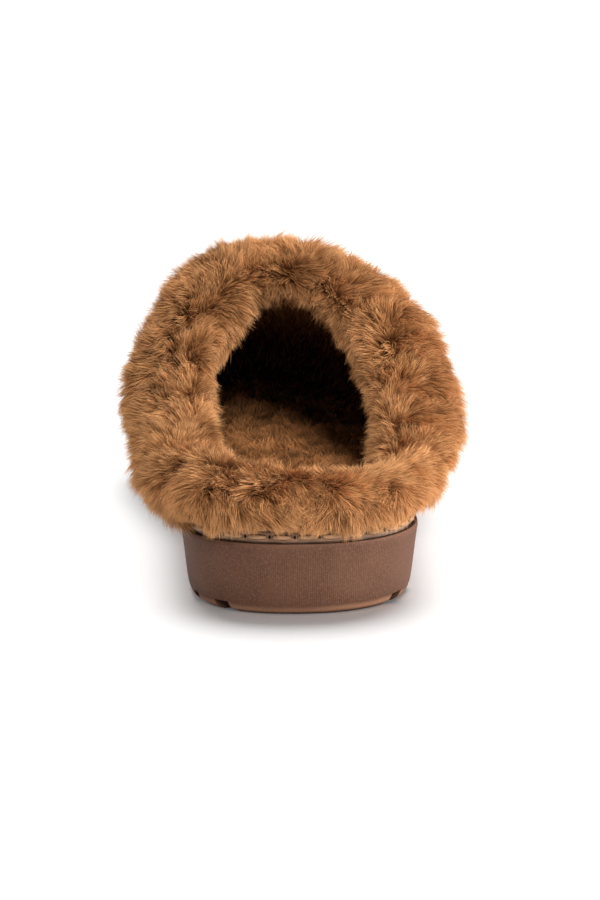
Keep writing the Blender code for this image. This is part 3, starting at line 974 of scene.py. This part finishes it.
def upper_rows(turns):
    """Points of the upper's outer face, close together near the sole where the band is."""
    heights = walls.height(turns)
    depths = [share * (heights - CLOSE_FROM) for share in np.linspace(0, 1, UPPER_ROWS)[:-1]]
    depths += [heights - rest for rest in CLOSE_ROWS]
    rows = []
    for depth in depths:
        points, normal = off_wall(turns, np.zeros(len(turns)), depth)
        out = band_out(points) - crease_depth(points)
        rows.append(points + out[:, None] * normal)
    return rows


def build_upper(settings, fur):
    """The suede upper on its last, with lining colour inside."""
    turns, _ = even_turns(settings.columns, LIP_WIDTH + GAP)
    upper = loft("upper_suede", upper_rows(turns))
    shell = upper.modifiers.new("wall", "SOLIDIFY")
    shell.thickness = WALL * MM
    shell.offset = -1.0
    shell.material_offset = 1
    add_blanks(upper.data)
    apply_modifiers(upper)
    lining = skin_finish("lining_skin", shade(fur.root, 0.8))
    settle(upper, "upper_suede", suede_finish(settings), lining, replaces="upper")


def build_stitches(settings):
    """Thread bars around the upper above the sole, each in a dent painted dark as shade, with needle holes
    between, also painted dark as shade.
    """
    count = round(even_turns(1, LIP_WIDTH + GAP)[1][-1] * MM / settings.stitch_pitch)
    turns, _ = even_turns(count * STITCH_POINTS, LIP_WIDTH + GAP)
    heights = walls.height(turns)
    middle = (BAND_LOW + BAND_HIGH) / 2
    depth = heights - CLOSE_FROM / 2
    for _ in range(8):
        points = walls.at(turns, depth)
        depth = depth + (points[:, 2] - lip(points[:, 1]) - middle)
    points, normal = off_wall(turns, np.full(len(turns), BAND_OUT), depth)
    forward = unit(np.roll(points, -1, axis=0) - np.roll(points, 1, axis=0))
    upward = unit(np.cross(normal, forward))
    bars = bmesh.new()
    holes = bmesh.new()
    spokes = [FULL_TURN * side / BAR_SIDES for side in range(BAR_SIDES)]
    for start in range(0, len(points), STITCH_POINTS):
        loops = []
        for step in BAR_POINTS:
            at = start + step
            share = (step - BAR_POINTS[0]) / (BAR_POINTS[-1] - BAR_POINTS[0])
            swell = math.sin(math.pi * share) ** 0.5
            centre = points[at] + normal[at] * np.interp(swell, (0, 1), BAR_RISE)
            thick = np.interp(swell, (0, 1), BAR_THICKNESS)
            loops.append([])
            for angle in spokes:
                way = math.cos(angle) * upward[at] + BAR_FLATNESS * math.sin(angle) * normal[at]
                loops[-1].append(bars.verts.new(to_scene(centre + thick * way)))
        for low, high in zip(loops, loops[1:]):
            for side in range(BAR_SIDES):
                after = (side + 1) % BAR_SIDES
                bars.faces.new((low[side], low[after], high[after], high[side]))
        bars.faces.new(loops[0])
        bars.faces.new(loops[-1])
        for at, size in ((start, HOLE_SIZE), (start + STITCH_POINTS // 2, DENT_SIZE)):
            across = Matrix((forward[at], upward[at], normal[at])).transposed().to_4x4()
            place = Matrix.Translation(to_scene(points[at] - normal[at] * HOLE_SINK)) @ across
            flat = Matrix.Diagonal((*(MM * half for half in size), 1))
            bmesh.ops.create_uvsphere(holes, u_segments=12, v_segments=6, radius=1.0, matrix=place @ flat)
    for name, mesh, finish in (("stitches", bars, thread_finish(settings)),
                               ("needle_holes", holes, hole_finish(settings))):
        bmesh.ops.recalc_face_normals(mesh, faces=mesh.faces)
        data = bpy.data.meshes.new(name)
        mesh.to_mesh(data)
        mesh.free()
        data.shade_smooth()
        settle(add_object(name, data), "upper_suede", finish)


def hairs(name, curves, width, tones, chance):
    """One mesh of flat tapering hairs along curves, mapped by tone across and root to tip along."""
    count, steps, _ = curves.shape
    along = unit(np.gradient(curves, axis=1))
    side = unit(np.cross(along, chance.normal(size=(count, 1, 3))))
    share = np.linspace(0, 1, steps)
    taper = (1 - HAIR_TAPER * share ** TAPER_POWER)[None, :-1, None] * width / 2
    left = curves[:, :-1] - side[:, :-1] * taper
    right = curves[:, :-1] + side[:, :-1] * taper
    edges = np.stack([left, right], axis=2).reshape(count, -1, 3)
    points = np.concatenate([edges, curves[:, -1:]], axis=1)
    per_hair = points.shape[1]
    corners = []
    starts = []
    for step in range(steps - 2):
        starts.append(len(corners))
        corners += [2 * step, 2 * step + 1, 2 * step + 3, 2 * step + 2]
    starts.append(len(corners))
    corners += [per_hair - 3, per_hair - 2, per_hair - 1]
    corners = np.array(corners)
    loops = (np.arange(count)[:, None] * per_hair + corners).ravel()
    begin = (np.arange(count)[:, None] * len(corners) + np.array(starts)).ravel()
    data = bpy.data.meshes.new(name)
    data.vertices.add(count * per_hair)
    data.vertices.foreach_set("co", to_scene(points).astype(np.float32).ravel())
    data.loops.add(len(loops))
    data.loops.foreach_set("vertex_index", loops.astype(np.int32))
    data.polygons.add(len(begin))
    data.polygons.foreach_set("loop_start", begin.astype(np.int32))
    data.update(calc_edges=True)
    across = np.concatenate([np.tile([0.0, 1.0], steps - 1), [0.5]])[corners]
    height = np.concatenate([np.repeat(share[:-1], 2), [1.0]])[corners]
    span = 1 - 2 * MAP_MARGIN
    layer = data.uv_layers.new(name="OFBake")
    u = MAP_MARGIN + (span - MAP_STRIP) * tones[:, None] + MAP_STRIP * across
    v = np.broadcast_to(MAP_MARGIN + span * height, u.shape)
    layer.data.foreach_set("uv", np.stack([u, v], axis=-1).astype(np.float32).ravel())
    data.shade_smooth()
    return add_object(name, data)


def bend(roots, first, last, lengths):
    """Curves of three points that leave the root one way and end another way."""
    share = np.linspace(0, 1, 3)[None, :, None]
    run = first[:, None] * share + (last - first)[:, None] * share ** 2 / 2
    return roots[:, None] + run * lengths[:, None, None]


def gather(curves, leaders, draw):
    """Curves drawn together towards their leaders' tips."""
    share = np.linspace(0, 1, curves.shape[1])[None, :, None]
    return curves + (leaders - curves) * draw.strength * share ** draw.power


def trim(curves, turn):
    """Curves shortened where they would hang down over the sole's lip."""
    roots, tips = curves[:, 0], curves[:, -1]
    room = roots[:, 2] - lip(tips[:, 1]) - hem_over(np.degrees(turn) % 360)
    fall = roots[:, 2] - tips[:, 2]
    share = np.where(fall > room, room / np.maximum(fall, 1e-6), 1)
    return roots[:, None] + (curves - roots[:, None]) * share[:, None, None]


def drift_at(places, drift):
    """A smooth random drift around 0 over places in space."""
    chance = np.random.default_rng(drift.seed)
    total = np.zeros(places.shape[:-1])
    for _ in range(WAVES):
        direction = unit(chance.normal(size=3))
        length = chance.uniform(drift.shortest, drift.longest)
        total += np.sin(places @ direction * FULL_TURN / length + chance.uniform(0, FULL_TURN))
    return drift.amount * (total / math.sqrt(WAVES / 2))


def hair_ways(rows, out, lie, swirl, stray):
    """The ways of hairs at their roots and at their tips."""
    return [row.out * out + row.lie * lie + row.swirl * swirl + row.stray * stray for row in rows]


class CuffField:
    """The cuff's face, skin, way out, lie of the pile and way around, at many places."""

    TURNS = 360
    STEP = 3

    def __init__(self, depth):
        turns = (np.arange(self.TURNS) * FULL_TURN / self.TURNS)[:, None]
        degrees = np.arange(0, 361, self.STEP, dtype=float)[None, :]
        face = cuff_point(turns, degrees)
        skin = cuff_point(turns, degrees, depth)
        above = np.minimum(degrees + self.STEP, 360)
        below = np.maximum(degrees - self.STEP, 0)
        hemward = cuff_point(turns, below) - cuff_point(turns, above)
        around = cuff_point(turns + 0.01, degrees) - cuff_point(turns - 0.01, degrees)
        out = unit(np.cross(hemward, around))
        self.rates = np.stack([np.linalg.norm(around, axis=-1) / 0.02,
                               np.linalg.norm(hemward, axis=-1) / (2 * self.STEP)], axis=-1)
        self.fields = np.concatenate([face, skin, out, unit(hemward), unit(around), self.rates], axis=-1)

    def at(self, turn, degrees):
        """The fields at many places."""
        mixed = read_grid(self.fields, turn, degrees / self.STEP)
        face, skin, out, hemward, around = (mixed[:, k:k + 3] for k in range(0, 15, 3))
        return face, skin, unit(out), unit(hemward), unit(around), mixed[:, 15:]

    def sites(self, pitch, chance):
        """Places about a pitch apart all over the cuff, in staggered rows."""
        rate = np.median(self.rates[:, :, 1], axis=0)
        degrees = np.arange(0, 361, self.STEP, dtype=float)
        lengths = np.concatenate([[0.0], np.cumsum(rate[:-1] * self.STEP)])
        rows = np.interp(np.arange(0, lengths[-1], pitch), lengths, degrees)
        turns, levels = [], []
        fine = np.linspace(0, FULL_TURN, self.TURNS + 1)
        for index, level in enumerate(rows):
            if not SITE_LEVELS[0] <= level <= SITE_LEVELS[1]:
                continue
            nearest = int(round(level / self.STEP))
            speed = self.rates[:, nearest, 0]
            path = np.concatenate([[0.0], np.cumsum(speed * FULL_TURN / self.TURNS)])
            count = max(int(path[-1] / pitch), 3)
            places = np.arange(count) + 0.5 * (index % 2)
            places = (places + chance.uniform(-SITE_JITTER, SITE_JITTER, count)) / count
            turns.append(np.interp(np.mod(places, 1) * path[-1], path, fine))
            jitter = chance.uniform(-SITE_JITTER, SITE_JITTER, count)
            levels.append(level + jitter * pitch / rate[nearest])
        return np.concatenate(turns), np.clip(np.concatenate(levels), 2, 358)

    def pile(self, turn, degrees, chance, spread, guide=None):
        """Hair curves that part along the crest and lie down towards both hems, as their guides do."""
        face, skin, out, hemward, around, _ = self.at(turn, degrees)
        spot, level = guide or (face, degrees)
        wander, lean, fine_lean, curl, fine_curl, growth = (drift_at(spot, row) for row in CUFF_DRIFTS)
        parting = level - 180 + wander
        lie = LEAST_LIE + (1 - LEAST_LIE) * ease(np.abs(parting) / PARTING_SPAN)
        lie = np.where(parting < 0, lie, -lie)
        lie = (lie * (1 + lean) + fine_lean)[:, None]
        swirl = (curl + fine_curl)[:, None]
        loss = 1 - hem_share(np.degrees(turn) % 360)
        short = 1 - loss * ease((OUTER_HEM - degrees) / OUTER_HEM_SPAN)
        short = short - INNER_HEM_LOSS * ease((degrees - INNER_HEM) / INNER_HEM_SPAN)
        stray = spread * short[:, None] * chance.normal(size=face.shape)
        first, last = hair_ways(CUFF_WAYS, out, hemward * lie, around * swirl, stray)
        last[:, 2] -= TIP_SAG
        high = np.linalg.norm(face - skin, axis=1)
        lengths = high / RISE_SHARE * (1 + growth) * short * chance.uniform(*HAIR_LENGTHS, len(turn))
        return bend(skin, first, last, lengths)


def build_cuff(settings):
    """The fur cuff: a dark skin folded over the rim, and hairs in locks and tufts all over it."""
    chance = np.random.default_rng(CUFF_SEED)
    depth = settings.depth / MM
    turns, _ = even_turns(SKIN_COLUMNS, LIP_WIDTH + GAP)
    rings = [cuff_point(turns, degrees, depth) for degrees in np.linspace(0, 360, SKIN_STEPS)]
    drop = fold(turns, "drop")
    slot = ((-WALL - SLOT_GAP, drop / 3), (-WALL - SLOT_GAP, -SLOT_GAP), (SLOT_GAP, -SLOT_GAP),
            (SLOT_GAP, drop / 3))
    rings += [off_wall(turns, np.full(len(turns), out), level + 0 * turns)[0] for out, level in slot]
    skin = loft("cuff_skin", rings, ring_closed=True)
    settle(skin, "cuff_fur", skin_finish("cuff_skin", settings.root), replaces="fur_cuff")
    field = CuffField(depth)
    tuft_turn, tuft_level = field.sites(settings.tuft_pitch / MM, chance)
    lock_turn, lock_level = field.sites(settings.lock_pitch / MM, chance)
    tufts = field.pile(tuft_turn, tuft_level, chance, STRAYS["tuft"])
    locks = field.pile(lock_turn, lock_level, chance, STRAYS["lock"])
    nearest = np.array([np.argmin(((tufts[:, 0] - root) ** 2).sum(axis=1)) for root in locks[:, 0]])
    locks = gather(locks, tufts[nearest], LOCK_TO_TUFT)
    owner = np.repeat(np.arange(len(lock_turn)), settings.hairs)
    middles, _, _, _, _, rates = (values[owner] for values in field.at(lock_turn, lock_level))
    radius = settings.lock_pitch / MM * LOCK_REACH * np.sqrt(chance.uniform(0, 1, len(owner)))
    angle = chance.uniform(0, FULL_TURN, len(owner))
    turn = lock_turn[owner] + radius * np.cos(angle) / rates[:, 0]
    level = np.clip(lock_level[owner] + radius * np.sin(angle) / rates[:, 1], 1, 359)
    curves = field.pile(turn, level, chance, STRAYS["hair"], (middles, lock_level[owner]))
    curves = trim(gather(curves, locks[owner], HAIR_TO_LOCK), turn)
    tone = TONES["lock"] * chance.uniform(0, 1, len(lock_turn))[owner]
    tone = tone + TONES["hair"] * chance.uniform(0, 1, len(owner))
    # Painted light: hairs paler towards the outer side and darker towards the inner side, plus random
    # patches of tone.
    painted_side_light_and_patches = TONES["outer side"] * np.sin(turn) + drift_at(middles, CUFF_PATCHES)
    tone = np.clip(TONES["least"] + tone + painted_side_light_and_patches, 0, 1)
    order = np.argsort(np.mod(turn, FULL_TURN), kind="stable")
    finish = fur_finish("cuff_fur", settings, settings.tip)
    for name, part in zip(FUR_PIECES, np.array_split(order, len(FUR_PIECES))):
        settle(hairs(name, curves[part], settings.width / MM, tone[part], chance), "cuff_fur", finish)


def build_lining(settings):
    """Short fur on the inside of the upper, down to the insole."""
    chance = np.random.default_rng(LINING_SEED)
    turns, depths = [], []
    fine, _ = even_turns(LINING_COLUMNS, LIP_WIDTH + GAP)
    deepest = walls.height(fine) - LINING_END
    for depth in np.arange(LINING_START, deepest.max(), LINING_PITCH):
        inside = (depth < deepest) & (depth > 0.5 * INNER_DROP * fold(fine, "drop"))
        turns.append(fine[inside])
        depths.append(np.full(inside.sum(), depth))
    turns = np.repeat(np.concatenate(turns), LINING_HAIRS)
    depths = np.repeat(np.concatenate(depths), LINING_HAIRS)
    turns = turns + chance.normal(size=len(turns)) * LINING_SPREAD[0]
    depths = depths + chance.normal(size=len(depths)) * LINING_SPREAD[1]
    inward = np.full(len(turns), -WALL - LINING_OFF)
    points, normal = off_wall(turns, inward, depths)
    down = unit(off_wall(turns, inward, depths + 1.0)[0] - points)
    swirl = drift_at(points, LINING_SWIRL)[:, None] * np.cross(normal, down)
    stray = chance.normal(size=points.shape) * LINING_STRAY
    first, last = hair_ways(LINING_WAYS, -normal, down, swirl, stray)
    curves = bend(points, first, last, chance.uniform(*LINING_LENGTHS, len(points)))
    piece = hairs("lining_fur", curves, LINING_WIDTH, chance.uniform(0, 1, len(points)), chance)
    settle(piece, "insole_pile", fur_finish("lining_fur", settings, settings.middle, 0.7))


def build_insole(settings):
    """The footbed, a soft pad in the cup of the sole, and the pile that covers it."""
    chance = np.random.default_rng(INSOLE_SEED)
    inset = LIP_WIDTH + WALL + 2 * GAP

    def low(y):
        return floor(y) + GAP

    def high(y):
        return low(y) + INSOLE_THICKNESS

    turns, _ = even_turns(INSOLE_COLUMNS, inset)
    rings = disc_rings(turns, inset + INSOLE_SIDE[0].inset, low)
    for step in INSOLE_SIDE:
        rings.append(ring_at(turns, inset + step.inset, lambda y: low(y) + step.height * INSOLE_THICKNESS))
    rings += reversed(disc_rings(turns, inset + INSOLE_SIDE[-1].inset, high))
    pad = loft("insole_pad", rings, bottom=(*AXIS, low(AXIS[1])), top=(*AXIS, high(AXIS[1])))
    settle(pad, "insole_pile", skin_finish("insole_skin", settings.root), replaces="insole")
    grid_x, grid_y = np.meshgrid(np.arange(-INSOLE_REACH, INSOLE_REACH, INSOLE_PITCH),
                                 np.arange(INSOLE_START, SOLE_LENGTH, INSOLE_PITCH * ROW_SHARE))
    grid_x = grid_x + (np.arange(len(grid_x))[:, None] % 2) * INSOLE_PITCH / 2
    spots = np.column_stack([grid_x.ravel(), grid_y.ravel()])
    spots = spots + chance.uniform(-INSOLE_JITTER, INSOLE_JITTER, spots.shape)
    offset = spots - AXIS
    turns = np.mod(np.arctan2(offset[:, 0], -offset[:, 1]), FULL_TURN)
    reach = np.interp(turns, *plan_at(inset + INSOLE_MARGIN), period=FULL_TURN)
    spots = spots[np.linalg.norm(offset, axis=1) < reach]

    def pile(places, loose):
        roots = np.column_stack([places, high(places[:, 1]) - INSOLE_SINK])
        lie = drift_at(roots, INSOLE_LIE)
        heading = np.column_stack([np.sin(lie), np.cos(lie), np.zeros(len(lie))])
        stray = loose * chance.normal(size=roots.shape)
        first, last = hair_ways(INSOLE_WAYS, np.array([0, 0, 1.0]), heading, 0.0, stray)
        lengths = INSOLE_PILE * (1 + drift_at(roots, INSOLE_GROWTH))
        return bend(roots, first, last, lengths * chance.uniform(*INSOLE_LENGTHS, len(roots)))

    owner = np.repeat(np.arange(len(spots)), INSOLE_HAIRS)
    locks = pile(spots, INSOLE_STRAYS["lock"])
    places = spots[owner] + chance.normal(size=(len(owner), 2)) * INSOLE_PITCH * INSOLE_SPREAD
    curves = gather(pile(places, INSOLE_STRAYS["hair"]), locks[owner], INSOLE_TO_LOCK)
    mottle = 0.5 + drift_at(locks[:, 0], INSOLE_MOTTLE)
    tone = np.clip(mottle + chance.uniform(-0.25, 0.25, len(spots)), 0, 0.8)[owner]
    tone = tone + 0.2 * chance.uniform(0, 1, len(owner))
    piece = hairs("insole_fur", curves, settings.width / MM * 1.2, tone, chance)
    # The insole's pile gets a tip colour brighter than the cuff's: its more orange tone is its own, and the
    # extra brightness is painted light in place of more key light on the insole.
    settle(piece, "insole_pile", fur_finish("insole_fur", settings, shade(settings.middle, 2.3)))


def add_floor():
    """A wide pale floor."""
    data = bpy.data.meshes.new("floor")
    corners = [(x * FLOOR_REACH, y * FLOOR_REACH, 0) for x, y in ((-1, -1), (1, -1), (1, 1), (-1, 1))]
    data.from_pydata(corners, [], [(0, 1, 2, 3)])
    data.materials.append(Finish("pale_floor", Base_Color=(0.94, 0.94, 0.94), Roughness=0.6,
                                 Specular_IOR_Level=0.2, Emission_Color=(1, 1, 1),
                                 Emission_Strength=0.05).material)
    sheet = add_object("floor", data)
    return sheet


def add_surround(sky):
    """Even white light from all around, in a surround that the camera sees as white."""
    world = bpy.data.worlds.new("studio")
    world.use_nodes = True
    nodes, links = world.node_tree.nodes, world.node_tree.links
    even = nodes["Background"]
    white = nodes.new("ShaderNodeBackground")
    seen = nodes.new("ShaderNodeLightPath")
    either = nodes.new("ShaderNodeMixShader")
    for light in (even, white):
        light.inputs["Color"].default_value = (1, 1, 1, 1)
    even.inputs["Strength"].default_value = sky
    links.new(seen.outputs["Is Camera Ray"], either.inputs[0])
    links.new(even.outputs[0], either.inputs[1])
    links.new(white.outputs[0], either.inputs[2])
    links.new(either.outputs[0], nodes["World Output"].inputs["Surface"])
    bpy.context.scene.world = world


def add_lamp(row, strength, sheet):
    """A broad light that falls on the floor alone, with the sole's shadow, or on all but the floor."""
    lamp = bpy.data.lights.new(row.name, "SUN")
    lamp.energy = strength
    lamp.angle = math.radians(row.spread)
    light = add_object(row.name, lamp)
    light.rotation_euler = Vector(row.source).to_track_quat("Z", "Y").to_euler()
    linked = bpy.data.collections.new(row.name + "_floor")
    linked.objects.link(sheet)
    linked.collection_objects[0].light_linking.link_state = "INCLUDE" if row.on_floor else "EXCLUDE"
    light.light_linking.receiver_collection = linked
    if row.on_floor:
        blockers = bpy.data.collections.new(row.name + "_blockers")
        blockers.objects.link(bpy.data.objects["sole_cup"])
        light.light_linking.blocker_collection = blockers


def add_camera(settings):
    """The camera behind the heel and a little above."""
    camera = add_object("camera", bpy.data.cameras.new("camera"))
    camera.data.lens = settings.lens
    camera.data.clip_end = 50.0
    level = math.cos(settings.elevation)
    back = Vector((math.sin(settings.azimuth) * level, -math.cos(settings.azimuth) * level,
                   math.sin(settings.elevation)))
    camera.location = Vector(settings.target) + back * settings.distance
    camera.rotation_euler = back.to_track_quat("Z", "Y").to_euler()
    bpy.context.scene.camera = camera


def build_stage(settings):
    """The floor, the surround, the lights and the camera."""
    sheet = add_floor()
    add_surround(settings.sky)
    for row in LAMPS:
        add_lamp(row, getattr(settings, row.name), sheet)
    add_camera(settings)
    bpy.context.scene.view_settings.view_transform = "Standard"
    bpy.context.scene.view_settings.look = "None"


class SLIPPER_OT_sole(bpy.types.Operator):
    """Build the moulded cup sole"""

    bl_idname = "slipper.sole"
    bl_label = "Sole"

    def execute(self, context):
        build_sole(context.scene.slipper_sole)
        return {"FINISHED"}


class SLIPPER_OT_upper(bpy.types.Operator):
    """Build the suede upper"""

    bl_idname = "slipper.upper"
    bl_label = "Upper"

    def execute(self, context):
        build_upper(context.scene.slipper_upper, context.scene.slipper_fur)
        return {"FINISHED"}


class SLIPPER_OT_stitches(bpy.types.Operator):
    """Build the row of stitches above the sole"""

    bl_idname = "slipper.stitches"
    bl_label = "Stitches"

    def execute(self, context):
        build_stitches(context.scene.slipper_upper)
        return {"FINISHED"}


class SLIPPER_OT_cuff(bpy.types.Operator):
    """Build the fur cuff around the collar"""

    bl_idname = "slipper.cuff"
    bl_label = "Fur Cuff"

    def execute(self, context):
        build_cuff(context.scene.slipper_fur)
        return {"FINISHED"}


class SLIPPER_OT_lining(bpy.types.Operator):
    """Build the fur inside the upper"""

    bl_idname = "slipper.lining"
    bl_label = "Lining"

    def execute(self, context):
        build_lining(context.scene.slipper_fur)
        return {"FINISHED"}


class SLIPPER_OT_insole(bpy.types.Operator):
    """Build the insole and its pile"""

    bl_idname = "slipper.insole"
    bl_label = "Insole"

    def execute(self, context):
        build_insole(context.scene.slipper_fur)
        return {"FINISHED"}


class SLIPPER_OT_stage(bpy.types.Operator):
    """Build the floor, the light and the camera"""

    bl_idname = "slipper.stage"
    bl_label = "Stage"

    def execute(self, context):
        build_stage(context.scene.slipper_stage)
        return {"FINISHED"}


OPERATORS = (
    SLIPPER_OT_sole,
    SLIPPER_OT_upper,
    SLIPPER_OT_stitches,
    SLIPPER_OT_cuff,
    SLIPPER_OT_lining,
    SLIPPER_OT_insole,
    SLIPPER_OT_stage,
)


class SLIPPER_PT_panel(bpy.types.Panel):
    """The slipper's pieces and their sizes and colours"""

    bl_idname = "SLIPPER_PT_panel"
    bl_label = "Clog Slipper"
    bl_space_type = "VIEW_3D"
    bl_region_type = "UI"
    bl_category = "Slipper"

    def draw(self, context):
        layout = self.layout
        for operator in OPERATORS:
            layout.operator(operator.bl_idname)
        for name, kind in SETTINGS.items():
            box = layout.box()
            settings = getattr(context.scene, name)
            for field in kind.__annotations__:
                box.prop(settings, field)


SETTINGS = {
    "slipper_sole": SoleSettings,
    "slipper_upper": UpperSettings,
    "slipper_fur": FurSettings,
    "slipper_stage": StageSettings,
}
CLASSES = (*SETTINGS.values(), *OPERATORS, SLIPPER_PT_panel)


def register():
    for kind in CLASSES:
        bpy.utils.register_class(kind)
    for name, kind in SETTINGS.items():
        setattr(bpy.types.Scene, name, PointerProperty(type=kind))


def unregister():
    for name in SETTINGS:
        delattr(bpy.types.Scene, name)
    for kind in reversed(CLASSES):
        bpy.utils.unregister_class(kind)


def main():
    register()
    bpy.ops.slipper.sole()
    bpy.ops.slipper.upper()
    bpy.ops.slipper.stitches()
    bpy.ops.slipper.cuff()
    bpy.ops.slipper.lining()
    bpy.ops.slipper.insole()
    bpy.ops.slipper.stage()


if __name__ == "__main__":
    main()
